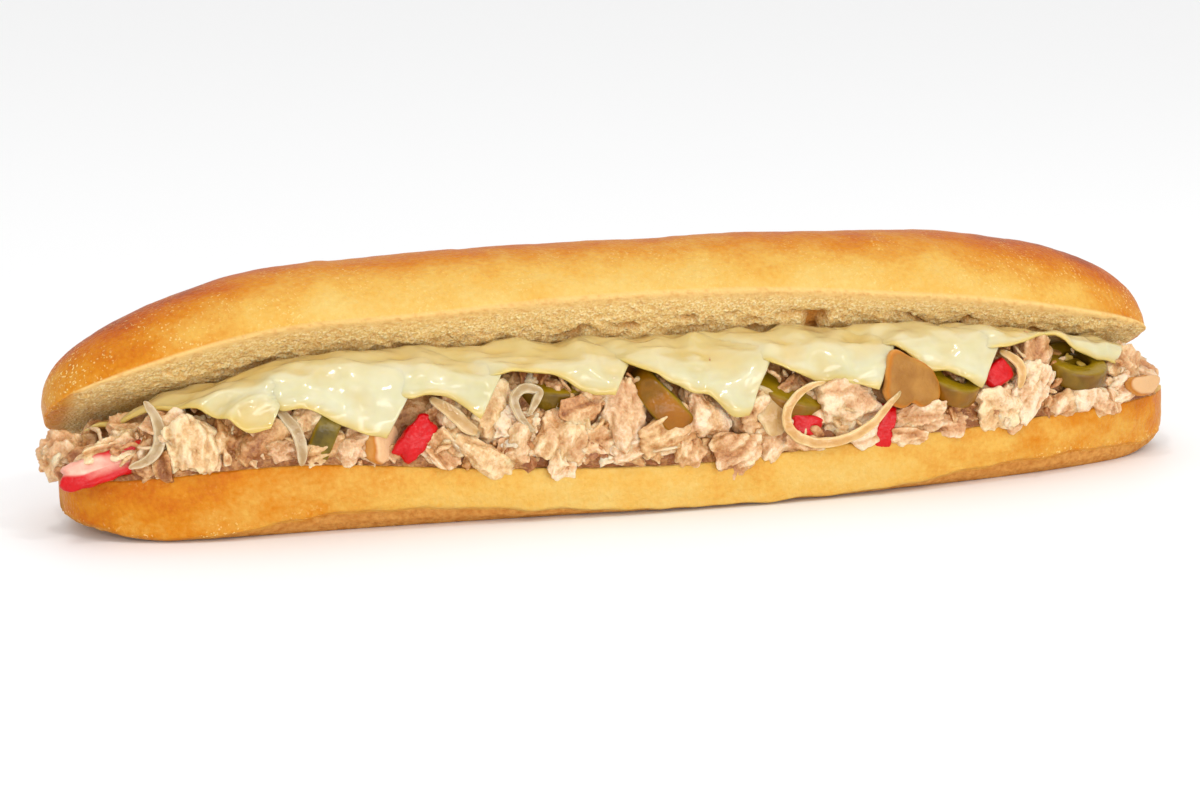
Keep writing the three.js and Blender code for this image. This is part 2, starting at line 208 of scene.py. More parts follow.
def dome_share(x):
    reach = np.minimum(1, np.abs(x) / HALF_LENGTH)
    left, right = ((1 - reach ** along) ** up for along, up in DOME_ROUNDING.values())
    return np.where(x < 0, left, right)


def opened(x, y, z):
    """Carries points of the closed upper half to where they are with the mouth open."""
    angle = np.radians(along_roll(OPENING, x))
    return np.stack([
        x + CROWN_SHIFT,
        along_roll(CENTRE_LINE, x) + HINGE_Y + (y - HINGE_Y) * np.cos(angle) + z * np.sin(angle),
        along_roll(RIM_HEIGHTS, x) + (HINGE_Y - y) * np.sin(angle) + z * np.cos(angle),
    ], axis=-1)


def heap_point(x, turn):
    """Points on the heap under the cheese. The turn goes from 0 at its front foot to 180 at its back foot."""
    front = HALF_WIDTH * plan_share(x, HALF_LENGTH + 1.5)
    back = np.minimum(PILE_BACK, 0.75 * front)
    middle = along_roll(CENTRE_LINE, x)
    rim = along_roll(RIM_HEIGHTS, x)
    cosine, sine = np.cos(np.radians(turn)), np.sin(np.radians(turn))
    across = -signed_power(cosine, 2 / PILE_ROUNDING)
    y = middle + (back - front) / 2 + (back + front) / 2 * across
    slope = np.tan(np.radians(along_roll(OPENING, x - CROWN_SHIFT)))
    face = rim + (middle + HINGE_Y - y) * slope
    free = rim + GAP + along_roll(PILE_RISE, x) * np.abs(sine) ** (2 / PILE_ROUNDING)
    pressed = face - STACK * np.hypot(1, slope)
    z = (free + pressed - np.hypot(free - pressed, PRESS_ROUNDING)) / 2
    return spots(x, y, z)


def lifted_point(x, turn, lift):
    """The same points moved out of the heap by the lift, square to its outline."""
    x, turn, lift = np.broadcast_arrays(*(np.asarray(v, float) for v in (x, turn, lift)))
    ahead = unit(heap_point(x, turn + 2) - heap_point(x, turn - 2))
    outward = spots(0, -ahead[..., 2], ahead[..., 1])
    return heap_point(x, turn) + outward * lift[..., None]


def turned(points, tip=0, spin=0, lean=0, yaw=0):
    """Turns a piece that lies flat, face up, to face the open side, then spins, tips, leans and yaws it."""
    for axis, degrees in (("Z", spin), ("X", 90 - tip), ("Y", lean), ("Z", yaw)):
        angles = [math.radians(degrees) if name == axis else 0 for name in "XYZ"]
        points = points @ np.array(Euler(angles).to_matrix()).T
    return points


# ---- meshes

def facing_out(points, faces):
    """The faces of a closed mesh, turned over if they face into it."""
    corners = np.array([(face[0], face[1], face[2], face[-1]) for face in faces])
    a, b, c, d = (points[corners[:, k]] for k in range(4))
    volume = (a * (np.cross(b - a, c - a) + np.cross(c - a, d - a))).sum()
    return faces if volume > 0 else [face[::-1] for face in faces]


def added(name, data):
    """An object of the data, in the scene."""
    thing = bpy.data.objects.new(name, data)
    bpy.context.scene.collection.objects.link(thing)
    return thing


def new_object(name, points, faces, attributes):
    """A smooth mesh object from points in the roll's frame, in millimetres."""
    mesh = bpy.data.meshes.new(name)
    mesh.from_pydata(((points + ORIGIN) * MM).tolist(), [], faces)
    mesh.shade_smooth()
    thing = added(name, mesh)
    for key, values in attributes.items():
        set_values(thing, key, values)
    return thing


def joined_object(name, parts):
    """One object from a list of (points, faces, attributes)."""
    points, faces, attributes = [], [], {key: [] for key in parts[0][2]}
    offset = 0
    for part_points, part_faces, part_attributes in parts:
        points.append(part_points)
        faces += [[v + offset for v in face] for face in facing_out(part_points, part_faces)]
        offset += len(part_points)
        for key in attributes:
            attributes[key].append(part_attributes[key])
    attributes = {key: np.concatenate(values) for key, values in attributes.items()}
    return new_object(name, np.concatenate(points), faces, attributes)


def ring_faces(rings, around, closed):
    """Faces between rings of points, and from the last ring to the first if that closes a loop."""
    i, j = np.meshgrid(np.arange(rings if closed else rings - 1), np.arange(around), indexing="ij")
    k, m = (j + 1) % around, (i + 1) % rings
    quads = np.stack([i * around + j, i * around + k, m * around + k, m * around + j], -1)
    return quads.reshape(-1, 4).tolist()


def loft_faces(rings, around):
    """Faces of rings with a pole at each end. The points are the rings in order, then the poles."""
    start = (rings - 1) * around
    first, last = rings * around, rings * around + 1
    fans = [[first, (n + 1) % around, n] for n in range(around)]
    fans += [[last, start + n, start + (n + 1) % around] for n in range(around)]
    return ring_faces(rings, around, False) + fans


def sheet_faces(across, deep):
    """Faces of a closed sheet: an upper grid of points, then a lower one, stitched along their borders."""
    size = across * deep
    i, j = np.meshgrid(np.arange(across - 1), np.arange(deep - 1), indexing="ij")
    a = (i * deep + j).ravel()
    upper = np.stack([a, a + deep, a + deep + 1, a + 1], -1)
    lower = upper[:, ::-1] + size
    border = [i * deep for i in range(across)]
    border += [(across - 1) * deep + j for j in range(1, deep)]
    border += [i * deep + deep - 1 for i in range(across - 2, -1, -1)]
    border += [j for j in range(deep - 2, 0, -1)]
    ring = [[b, a, a + size, b + size] for a, b in zip(border, border[1:] + border[:1])]
    return upper.tolist() + lower.tolist() + ring


def ball(divisions):
    """Points and faces of a sphere of even triangles."""
    builder = bmesh.new()
    bmesh.ops.create_icosphere(builder, subdivisions=divisions, radius=1)
    points = np.array([v.co for v in builder.verts], float)
    faces = [[v.index for v in face.verts] for face in builder.faces]
    builder.free()
    return unit(points), faces


def read(items, key, width=1):
    """A value of each of a mesh's items, as rows of numbers."""
    flat = np.empty(len(items) * width, np.float32)
    items.foreach_get(key, flat)
    return flat.reshape(-1, width).astype(float)


def points_of(thing):
    return read(thing.data.vertices, "co", 3) / MM - ORIGIN


def set_points(thing, points):
    thing.data.vertices.foreach_set("co", ((points + ORIGIN) * MM).astype(np.float32).ravel())
    thing.data.update()


def soften(thing, weight, rounds):
    """Evens out the surface: a round moves each point by its weight towards the mean of its neighbours."""
    edges = np.empty(len(thing.data.edges) * 2, np.int32)
    thing.data.edges.foreach_get("vertices", edges)
    a, b = edges.reshape(-1, 2).T
    points = points_of(thing)
    count = np.bincount(a, minlength=len(points)) + np.bincount(b, minlength=len(points))
    for _ in range(rounds):
        mean = np.stack([
            np.bincount(a, points[b, axis], len(points)) + np.bincount(b, points[a, axis], len(points))
            for axis in range(3)
        ], -1) / count[:, None]
        points += weight[:, None] * (mean - points)
    set_points(thing, points)


def values_of(thing, key):
    return read(thing.data.attributes[key].data, "value")[:, 0]


def set_values(thing, key, values):
    layer = thing.data.attributes.get(key) or thing.data.attributes.new(key, "FLOAT", "POINT")
    layer.data.foreach_set("value", np.ascontiguousarray(values, dtype=np.float32))


# ---- bread

STATIONS = 460  # rings along the roll
DOME_POINTS = 58  # of each ring of the upper half, across its crust
WALL_POINTS = 30  # of each ring of the lower half, down each of its two walls


def bread_stations():
    """Stations along the roll, closer together at its rounded ends."""
    x = np.linspace(-1, 1, 4001)
    crowding = 1 + 0.12 / np.sqrt(1.0004 - x * x)
    reach = np.cumsum(crowding)
    share = np.linspace(0, 1, STATIONS + 2)[1:-1]
    return HALF_LENGTH * np.interp(share, (reach - reach[0]) / (reach[-1] - reach[0]), x)


def even_spacing(path, count):
    """Points spread evenly by length along paths of shape (rings, points, 2)."""
    steps = np.linalg.norm(np.diff(path, axis=1), axis=2)
    length = np.concatenate([np.zeros((len(path), 1)), np.cumsum(steps, axis=1)], axis=1)
    share = np.linspace(0, 1, count)
    return np.array([
        np.stack([np.interp(share * reach[-1], reach, line[:, axis]) for axis in (0, 1)], -1)
        for line, reach in zip(path, length)
    ])


def bread_half(name, points, section, crust_count, poles, rise, upper):
    """A half of the roll from its rings: crust points first, then the points of the cut face."""
    count, around = section.shape[:2]
    crumb = np.zeros((count, around))
    crumb[:, crust_count:] = 1
    values = {"crumb": crumb, "rise": rise, "side": section[..., 0] / HALF_WIDTH}
    attributes = {key: np.append(value.ravel(), [0, 0]) for key, value in values.items()}
    attributes["upper"] = np.full(count * around + 2, float(upper))
    points = np.concatenate([points.reshape(-1, 3), poles])
    return new_object(name, points, facing_out(points, loft_faces(count, around)), attributes)


def crown_mesh():
    """The upper half: a domed crust over a cut face, finest where the crumb shows."""
    x = bread_stations()
    half = HALF_WIDTH * plan_share(x)
    height = CROWN_HEIGHT * dome_share(x)
    turn = np.linspace(0, math.pi, 241)
    across = -signed_power(np.cos(turn), DOME_SECTION)
    up = np.sin(turn) ** DOME_SECTION
    dome = even_spacing(np.stack([half[:, None] * across, height[:, None] * up], -1), DOME_POINTS)
    hidden = np.linspace(1, -CRUMB_VISIBLE, 13)
    cut_share = np.concatenate([hidden, np.linspace(-CRUMB_VISIBLE, -1, 50)[1:]])[1:-1]
    cut = np.stack([half[:, None] * cut_share, np.zeros((STATIONS, len(cut_share)))], -1)
    section = np.concatenate([dome, cut], axis=1)
    points = opened(*spots(x[:, None], section[..., 0], section[..., 1]).transpose(2, 0, 1))
    poles = [opened(np.array(end), np.array(0.0), np.array(3.0)) for end in (-HALF_LENGTH, HALF_LENGTH)]
    rise = section[..., 1] / CROWN_HEIGHT
    return bread_half("bread_crown", points, section, DOME_POINTS, poles, rise, True)


def heel_mesh():
    """The lower half: crusty walls over a seam, a rough underside and a flat base, under a cut face."""
    x = bread_stations()
    share = plan_share(x)[:, None]
    rim = along_roll(RIM_HEIGHTS, x)[:, None]
    curl = END_CURL * np.maximum(0, (np.abs(x[:, None]) / HALF_LENGTH - 0.85) / 0.15) ** 2
    seam = along_roll(SEAM, x)[:, None]
    seam = seam + 0.05 * noise(spots(x / 9, 0, 0), 31)[:, None]
    # The wall from the cut down to the base: how far each point stands out, and its share of the height
    wall = [(0, 1), (0.9, 0.8), (1.1, 0.55), (0.7, seam + 0.05), (-1.1, seam), (-1.8, 0.5 * seam), (-4.5, 0)]
    out, up = (np.concatenate([part + 0 * seam for part in parts], axis=1) for parts in zip(*wall))
    side = np.stack([HALF_WIDTH * share + out * share, curl + (rim - curl) * up], -1)
    side = even_spacing(side, WALL_POINTS)
    front = side * np.array([-1, 1])
    back = side[:, ::-1]
    base_share = np.linspace(-1, 1, 16)[1:-1]
    base = np.stack([front[:, -1:, 0] * -base_share, curl + 0 * base_share], -1)
    cut_share = np.concatenate([np.linspace(1, -0.8, 10), np.linspace(-0.8, -1, 8)[1:]])[1:-1]
    cut = np.stack([HALF_WIDTH * share * cut_share, rim + 0 * cut_share], -1)
    section = np.concatenate([front, base, back, cut], axis=1)
    middle = along_roll(CENTRE_LINE, x)[:, None]
    points = spots(x[:, None], middle + section[..., 0], section[..., 1])
    poles = [[end, along_roll(CENTRE_LINE, end), 0.72 * along_roll(RIM_HEIGHTS, end)]
             for end in (-HALF_LENGTH, HALF_LENGTH)]
    rise = (section[..., 1] - curl) / (rim - curl) - seam
    crust_count = section.shape[1] - len(cut_share)
    return bread_half("bread_heel", points, section, crust_count, poles, rise, False)


def union_of(first, second, name):
    """The union of two closed meshes, as one object."""
    union = first.modifiers.new("union", "BOOLEAN")
    union.operation = "UNION"
    union.solver = "MANIFOLD"
    union.object = second
    evaluated = first.evaluated_get(bpy.context.evaluated_depsgraph_get())
    mesh = bpy.data.meshes.new_from_object(evaluated)
    mesh.name = name
    mesh.shade_smooth()
    bpy.data.objects.remove(second)
    bpy.data.objects.remove(first)
    return added(name, mesh)


def shape_bread(thing):
    """Presses dents into the plain roll's crust and pores into its crumb, and sets how baked each spot is."""
    rise, side, upper = (values_of(thing, key) for key in ("rise", "side", "upper"))
    points = points_of(thing)
    in_from_edge = np.maximum(0, HALF_WIDTH * (plan_share(points[:, 0] - CROWN_SHIFT) - np.abs(side)))
    from_rim = np.abs(rise) * CROWN_HEIGHT + in_from_edge
    soften(thing, 0.5 * upper * smoothstep(4.0, 1.0, from_rim), 12)
    points, normals = points_of(thing), read(thing.data.vertices, "normal", 3)
    x = points[:, 0]
    from_end = HALF_LENGTH - np.abs(x - CROWN_SHIFT)
    wrapped = np.where(x < 0, smoothstep(3.0, 9.0, from_end), smoothstep(0.5, 3.0, from_end))
    end_wall = smoothstep(0.3, 1.2, HALF_LENGTH - np.abs(x))
    crumb = smoothstep(0.3, 0.9, values_of(thing, "crumb")) * np.where(upper > 0.5, wrapped, end_wall)
    along = np.abs(x) / HALF_LENGTH
    crust = 1 - crumb
    floor = smoothstep(0.3, 2.5, points[:, 2])

    dents = 0.8 * layered(points / 34, 2, 1) + 0.22 * layered(points / 7, 3, 4)
    blisters = 0.35 * smoothstep(0.45, 0.1, bubbles(points / 7, 9))
    blisters *= smoothstep(0.0, 0.5, noise(points / 30, 11))
    wrinkles = 0.18 * layered(points / [5, 2.6, 2.6], 2, 12) * smoothstep(-0.2, 0.6, noise(points / 22, 13))
    move = crust * (dents + blisters + wrinkles)

    fluff = layered(points / 1.3, 2, 14)
    pores = smoothstep(0.5, 0.15, bubbles(points / [1.9, 1.5, 1.5], 17))
    calm = 0.45 + 0.55 * smoothstep(1.0, 0.86, along)
    inside = smoothstep(-0.98, -0.7, side / plan_share(x - CROWN_SHIFT).clip(0.05))
    move += crumb * upper * calm * (0.1 + 0.9 * inside) * (0.38 * fluff - 0.3 * pores)

    # The crumb sags onto the cheese, and hangs down there in rags with torn holes between them
    contact = along_roll(CONTACT, x)
    sagging = upper * crumb * smoothstep(0.65, 0.1, np.abs(side - contact - 0.25))
    move += 3.5 * sagging * smoothstep(-152, -110, x) * smoothstep(152, 105, x)
    near = upper * crumb * calm * smoothstep(0.25, 0.05, np.abs(side - contact))
    near *= 0.55 + 0.45 * smoothstep(-125, -90, x)
    move += 1.6 * near * layered(points / [4.5, 3.5, 3.5], 3, 21)
    holes = smoothstep(0.3, 0.5, noise(points / [8, 3.6, 3.6], 26))
    holes *= smoothstep(-0.2, -0.08, side - contact)
    move -= near * 3.2 * holes

    # The rough underside below the seam
    under = (1 - upper) * crust * smoothstep(0.02, -0.03, rise)
    move += under * 0.35 * layered(points / 1.8, 2, 28)
    move *= np.where(upper > 0.5, 1, floor)
    points += normals * move[:, None]
    points[:, 2] = np.maximum(points[:, 2], 0)
    set_points(thing, points)

    end = smoothstep(0.5, 1.0, along)
    mottle = 0.16 * layered(points / 26, 3, 33) + 0.08 * noise(points / [9, 5, 5], 35)
    crown_bake = 0.14 + 0.64 * smoothstep(0.05, 0.85, rise) + 0.45 * end
    heel_bake = 0.2 + np.where(x < 0, 0.44, 0.36) * smoothstep(0.2, 1, along)
    heel_bake += 0.1 * smoothstep(0.3, 0.8, rise)
    bake = np.where(upper > 0.5, crown_bake, heel_bake) + mottle
    bake += 0.12 * smoothstep(0.2, 0.8, side)
    # Painted shade: the torn holes by the cheese and the crumb's pores are painted darker, as shade falls in
    # them
    pit = np.maximum(near * holes, 0.45 * pores * crumb)
    foot = smoothstep(0.25, 0.02, rise) * smoothstep(0.5, 0.75, along)
    floury = np.where(upper > 0.5, 0.35 + 0.5 * end, 0.12 + 0.9 * foot)
    looks = {"bake": bake, "crumb": crumb, "inside": inside, "under": under, "pit": pit, "floury": floury}
    for key, values in looks.items():
        set_values(thing, key, values)


# ---- materials

def paint(red, green, blue):
    """A display colour, 0 to 255, as Blender's linear colour."""
    shares = (v / 255 / 12.92 if v < 11 else ((v / 255 + 0.055) / 1.055) ** 2.4 for v in (red, green, blue))
    return (*shares, 1)


def new_material(name, roughness, specular, scatter=(), coat=()):
    """A material. Its scatter is a weight, a radius and a scale, and its coat a weight and a roughness."""
    material = bpy.data.materials.new(name)
    material.use_nodes = True
    inputs = material.node_tree.nodes["Principled BSDF"].inputs
    inputs["Roughness"].default_value = roughness
    inputs["Specular IOR Level"].default_value = specular
    for key, setting in zip(("Subsurface Weight", "Subsurface Radius", "Subsurface Scale"), scatter):
        inputs[key].default_value = setting
    for key, setting in zip(("Coat Weight", "Coat Roughness"), coat):
        inputs[key].default_value = setting
    return material, material.node_tree


def node(tree, kind, inputs=None, **settings):
    """A node with its settings, and its inputs linked to signals or set to values."""
    made = tree.nodes.new(kind)
    for key, value in settings.items():
        setattr(made, key, value)
    for key, value in (inputs or {}).items():
        socket = made.inputs[key]
        if isinstance(value, Signal):
            tree.links.new(value.socket, socket)
        else:
            socket.default_value = value
    return made


class Signal:
    """What a node gives out, a number or a colour, with short ways to make further nodes of it."""

    def __init__(self, socket):
        self.socket = socket
        self.tree = socket.id_data

    def maths(self, operation, other):
        return Signal(node(self.tree, "ShaderNodeMath", {0: self, 1: other}, operation=operation).outputs[0])

    def __add__(self, other):
        return self.maths("ADD", other)

    def __mul__(self, other):
        return self.maths("MULTIPLY", other)

    def __or__(self, other):
        """The larger of the two."""
        return self.maths("MAXIMUM", other)

    def ranged(self, low, high, to_low=0.0, to_high=1.0):
        inputs = {"Value": self, "From Min": low, "From Max": high, "To Min": to_low, "To Max": to_high}
        return Signal(node(self.tree, "ShaderNodeMapRange", inputs).outputs["Result"])

    def ramp(self, stops):
        """Its colour on a ramp, from a display colour at each stop."""
        made = node(self.tree, "ShaderNodeValToRGB", {"Fac": self})
        elements = made.color_ramp.elements
        while len(elements) < len(stops):
            elements.new(0.5)
        for element, (at, colour) in zip(elements, stops.items()):
            element.position = at
            element.color = paint(*colour)
        return Signal(made.outputs["Color"])

    def mix(self, *colours):
        """The first of two colours where it is 0 and the second where it is 1."""
        low, high = (paint(*colour) if isinstance(colour, tuple) else colour for colour in colours)
        inputs = {MIX_SHARE: self, MIX_LOW: low, MIX_HIGH: high}
        return Signal(node(self.tree, "ShaderNodeMix", inputs, data_type="RGBA").outputs[MIX_RESULT])


# The mix node's sockets for colours, by number, as those for other kinds have the same names
MIX_SHARE, MIX_LOW, MIX_HIGH, MIX_RESULT = 0, 6, 7, 2


def place(tree, stretch=(1, 1, 1)):
    """Places on the piece in millimetres, squeezed along each axis by the stretch."""
    metres = Signal(node(tree, "ShaderNodeTexCoord").outputs["Object"])
    inputs = {0: metres, 1: [1 / (MM * share) for share in stretch]}
    return Signal(node(tree, "ShaderNodeVectorMath", inputs, operation="MULTIPLY").outputs[0])


def grain(tree, size, detail=2.0, stretch=(1, 1, 1)):
    """Noise of about 0 to 1 with features of a size in millimetres."""
    inputs = {"Vector": place(tree, stretch), "Scale": 1 / size, "Detail": detail}
    return Signal(node(tree, "ShaderNodeTexNoise", inputs).outputs["Fac"])


def cells(tree, size):
    """Distance, in cells, from the nearest of random dots that lie about a size apart."""
    inputs = {"Vector": place(tree), "Scale": 1 / size}
    return Signal(node(tree, "ShaderNodeTexVoronoi", inputs).outputs["Distance"])


def value(tree, key):
    """A value that the piece has at each of its points."""
    return Signal(node(tree, "ShaderNodeAttribute", attribute_name=key).outputs["Fac"])


def surfaced(material, colour, height, depth):
    """The material with its colour, and relief of a height, 0 to 1, times a depth in millimetres."""
    tree = material.node_tree
    inputs = tree.nodes["Principled BSDF"].inputs
    tree.links.new(colour.socket, inputs["Base Color"])
    relief = node(tree, "ShaderNodeBump", {"Height": height, "Distance": depth * MM}).outputs["Normal"]
    tree.links.new(relief, inputs["Normal"])
    tree.links.new(relief, inputs["Coat Normal"])
    return material


def bread_material():
    material, tree = new_material("bread", 0.5, 0.12, (0.12, (1, 0.5, 0.2), 0.003))
    fine = grain(tree, 1.4, 4).ranged(0.25, 0.75, -0.09, 0.09)
    patches = grain(tree, 7, 3, (1.6, 1, 1)).ranged(0.3, 0.7, -0.09, 0.09)
    bake = value(tree, "bake") + (fine + patches)
    crust = bake.ramp({
        0.0: (214, 182, 104),
        0.3: (212, 164, 74),
        0.6: (200, 124, 20),
        0.85: (184, 90, 4),
        1.0: (156, 68, 6),
    })
    flour = cells(tree, 1.7).ranged(0.2, 0.1) | grain(tree, 0.8, 1).ranged(0.64, 0.7)
    flour = flour * grain(tree, 12).ranged(0.42, 0.62) * value(tree, "floury")
    crust = (flour * 0.75).mix(crust, (255, 226, 150))
    under = grain(tree, 1.6, 4).ramp({0.3: (176, 112, 46), 0.7: (206, 150, 78)})
    crust = value(tree, "under").mix(crust, under)
    sponge = grain(tree, 0.6, 2)
    pith = sponge.ramp({0.3: (210, 168, 98), 0.5: (228, 196, 130), 0.68: (244, 224, 170)})
    crumbs = cells(tree, 1.5).ranged(0.4, 0.15)
    pith = (crumbs * 0.6).mix(pith, (252, 238, 188))
    inside = value(tree, "inside")
    pith = inside.ranged(0, 0.35).mix((226, 188, 120), pith)
    # Painted shade: dark brown in the crumb's torn holes and pores
    pith = value(tree, "pit").mix(pith, (196, 132, 58))
    crumb = value(tree, "crumb")
    colour = crumb.mix(crust, pith)
    rough = crumb | value(tree, "under")
    shader = tree.nodes["Principled BSDF"]
    tree.links.new(rough.ranged(0, 1, 0.4, 0.9).socket, shader.inputs["Roughness"])
    skin = rough.ranged(1, 0) * (grain(tree, 1.1, 3) + flour * 0.3)
    spongy = inside.ranged(0, 0.6, 0.5, 1.1) * (rough.ranged(0, 1) * (sponge + crumbs * 0.5))
    return surfaced(material, colour, skin + spongy, 0.45)


# ---- stage

CAMERA_AZIMUTH = -19.3
CAMERA_ELEVATION = 12.5
CAMERA_DISTANCE = 760
CAMERA_AIM = (-10.65, 0, 22.1)
CAMERA_LENS = 86.7
FLOOR_REACH = 6  # from the middle to each side, in metres
FLOOR_GAP = 0.0001
FLOOR_GREY = (0.93, 0.93, 0.93, 1)
WORLD_STRENGTH = 0.85
SUN = {"direction": (0.15, 0.35, 1), "strength": 0.32, "spread": 60}
# The name, place, size and power of each soft rectangular lamp
SOFTBOXES = [
    ("front", (0.15, -1.3, 0.17), (1.8, 0.3), 8.0),
    ("glint", (0.4, -0.8, 1.0), (0.12, 0.12), 2),
    ("high_glint", (-0.3, -0.35, 1.2), (0.12, 0.12), 2),
    ("low_glint", (-0.7, -0.9, 0.6), (0.08, 0.08), 0.9),
]


def add_facing(name, data, where, back):
    """A lamp or camera at a place, with its back to a direction."""
    thing = added(name, data)
    thing.location = where
    thing.rotation_euler = (-Vector(back)).to_track_quat("-Z", "Y").to_euler()
    return thing


def make_stage():
    corners = [(x * FLOOR_REACH, y * FLOOR_REACH, 0) for x, y in ((-1, -1), (1, -1), (1, 1), (-1, 1))]
    mesh = bpy.data.meshes.new("floor")
    mesh.from_pydata(corners, [], [(0, 1, 2, 3)])
    floor = added("floor", mesh)
    floor.location.z = BREAD_LOW[2] - FLOOR_GAP
    material, tree = new_material("floor", 0.6, 0.5)
    tree.nodes["Principled BSDF"].inputs["Base Color"].default_value = FLOOR_GREY
    mesh.materials.append(material)

    world = bpy.data.worlds.new("studio")
    bpy.context.scene.world = world
    world.use_nodes = True
    background = world.node_tree.nodes["Background"]
    background.inputs["Color"].default_value = (1, 1, 1, 1)
    background.inputs["Strength"].default_value = WORLD_STRENGTH
    bpy.context.scene.view_settings.view_transform = "Standard"


def add_softbox(name, where, size, power):
    """A lamp that faces the roll."""
    light = bpy.data.lights.new(name, "AREA")
    light.shape = "RECTANGLE"
    light.size, light.size_y = size
    light.energy = power
    add_facing(name, light, where, where)


def add_sun(direction, strength, spread):
    light = bpy.data.lights.new("sun", "SUN")
    light.energy = strength
    light.angle = math.radians(spread)
    add_facing("sun", light, (0, 0, 0), direction)


def add_camera():
    azimuth, elevation = math.radians(CAMERA_AZIMUTH), math.radians(CAMERA_ELEVATION)
    back = Vector((
        math.sin(azimuth) * math.cos(elevation),
        -math.cos(azimuth) * math.cos(elevation),
        math.sin(elevation),
    ))
    lens = bpy.data.cameras.new("camera")
    lens.lens = CAMERA_LENS
    where = (Vector(CAMERA_AIM) + Vector(ORIGIN) + back * CAMERA_DISTANCE) * MM
    bpy.context.scene.camera = add_facing("camera", lens, where, back)


# ---- cheese

# Each slice is a four-sided sheet laid cornerwise over the heap. Its left edge, deep under the upper half, is
# short. The turns are those of its lower left edge, at even steps from its left corner to its front corner.
SLICES = [
    {"left": -147, "corner": -106, "front": [84, 76, 70, 62, 52, 40, 28, 17, 18]},
    {"left": -119, "corner": -77, "front": [75, 58, 43, 27, 27, 21, 15, 12, 10]},
    {"left": -100, "corner": -53.5, "front": [72, 60, 49, 41, 35, 30, 33, 30, 20]},
    {"left": -69, "corner": -18.5, "front": [76, 64, 51, 44, 45, 46, 41, 33, 31]},
    {"left": -25, "corner": 16, "front": [84, 70, 53, 43, 37, 31, 28, 17, 16]},
    {"left": 6, "corner": 52, "front": [76, 66, 54, 44, 36, 30, 29, 26, 21]},
    {"left": 44, "corner": 82.5, "front": [74, 64, 55, 46, 37, 29, 28, 22, 16]},
    {"left": 72, "corner": 128, "front": [68, 55, 40, 40, 45, 49, 38, 33, 33]},
]
CHEESE_BACK = 112  # the turn that the slices reach under the crown
CHEESE_SKEW = 0.28  # their right edges run this far to the right for each degree that they climb
# The tongue at the first slice's front corner: the x and turn of its middle, and its reach in each
TONGUE_AT = (-110, 24)
TONGUE_REACH = (7.5, 15)


def rounded_edge(share, reach):
    """How much of a sheet's thickness is left, from almost none at both of its edges to all of it inside."""
    inside = np.minimum(1, np.minimum(share, 1 - share) / reach)
    return 0.1 + 0.9 * np.sqrt(1 - (1 - inside) ** 2)


def cheese_slice(number, left, corner, front):
    """One soft slice that has melted over the heap and onto the slice before it, its front corner hanging.

    The first slice's front corner swells into a thick tongue with a ridge around it.
    """
    across, deep = 70, 44  # points along and up the sheet
    u, v = np.meshgrid(
        0.5 - 0.5 * np.cos(math.pi * np.linspace(0, 1, across)),
        0.5 - 0.5 * np.cos(math.pi * np.linspace(0, 1, deep)),
        indexing="ij",
    )
    front_x = left + (corner - left) * u
    front_turn = smooth_list(front, u)
    rag = noise(spots(front_x / 6, 0, number), 43) * smoothstep(0, 0.2, u)
    front_turn = front_turn + 1.3 * rag
    turn = front_turn + (CHEESE_BACK - front_turn) * v
    x = front_x + CHEESE_SKEW * (turn - front_turn)
    climbing = smoothstep(44, 66, turn)
    on_heap = spots(x, 0.55 * turn, 0)
    sag = 1.5 * noise(on_heap / 15, 41) + 0.8 * noise(on_heap / 7, 42)
    sag += 0.5 * (1 - 3 * np.abs(noise(on_heap / 11 + 40, 49)))
    sag += 0.35 * noise(spots(x / 9, turn / 3.5, 0), 47)
    sag -= (2.6 + 1.5 * noise(spots(x / 11, 0, 0), 48)) * climbing
    curl = 0.9 * smoothstep(0.15, 0, v) * noise(on_heap / 8 + 50 * number, 44)
    melted = 1 - smoothstep(0, 0.1, u)
    sunk = 0
    if number > 1:
        before = SLICES[number - 2]
        inside = before["corner"] + CHEESE_SKEW * (turn - before["front"][-1]) - x
        melted = np.maximum(melted, smoothstep(0, 6, inside) * smoothstep(0.3, 0, v))
        sunk = (SHINGLE - 0.5) * melted
    thick = CHEESE_THICK * rounded_edge(u, 0.02) * rounded_edge(v, 0.025) * (1 - 0.5 * melted)
    middle = CHEESE_LIFT + SHINGLE * (1 - u) + sag + curl * (1 - melted) - sunk + 0.5 * CHEESE_THICK
    from_tongue = np.full_like(x, 9)
    if number == 1:
        shares = [(at - centre) / reach for at, centre, reach in zip((x, turn), TONGUE_AT, TONGUE_REACH)]
        from_tongue = np.hypot(*shares)
    middle += 1.8 * smoothstep(1.2, 0.85, from_tongue) + 0.9 * np.exp(-((from_tongue - 0.8) / 0.12) ** 2)
    upper = lifted_point(x, turn, middle + thick / 2)
    lower = lifted_point(x, turn, middle - thick / 2)
    points = np.concatenate([upper.reshape(-1, 3), lower.reshape(-1, 3)])
    edge = (1 - smoothstep(0, 0.06, v)) * (1 - melted)
    # Painted shade: a deeper yellow up towards the upper half and down in the valleys between folds; the
    # tongue's middle is also a deeper yellow
    warm = 0.7 * smoothstep(30, 65, turn) + 0.5 * smoothstep(0.5, -1.2, sag + 2.6 * climbing)
    warm += 0.6 * smoothstep(0.75, 0.6, from_tongue)
    attributes = {"edge": np.tile(edge.ravel(), 2), "warm": np.tile(warm.ravel(), 2)}
    return new_object(f"melted_cheese_{number}", points, sheet_faces(across, deep), attributes)


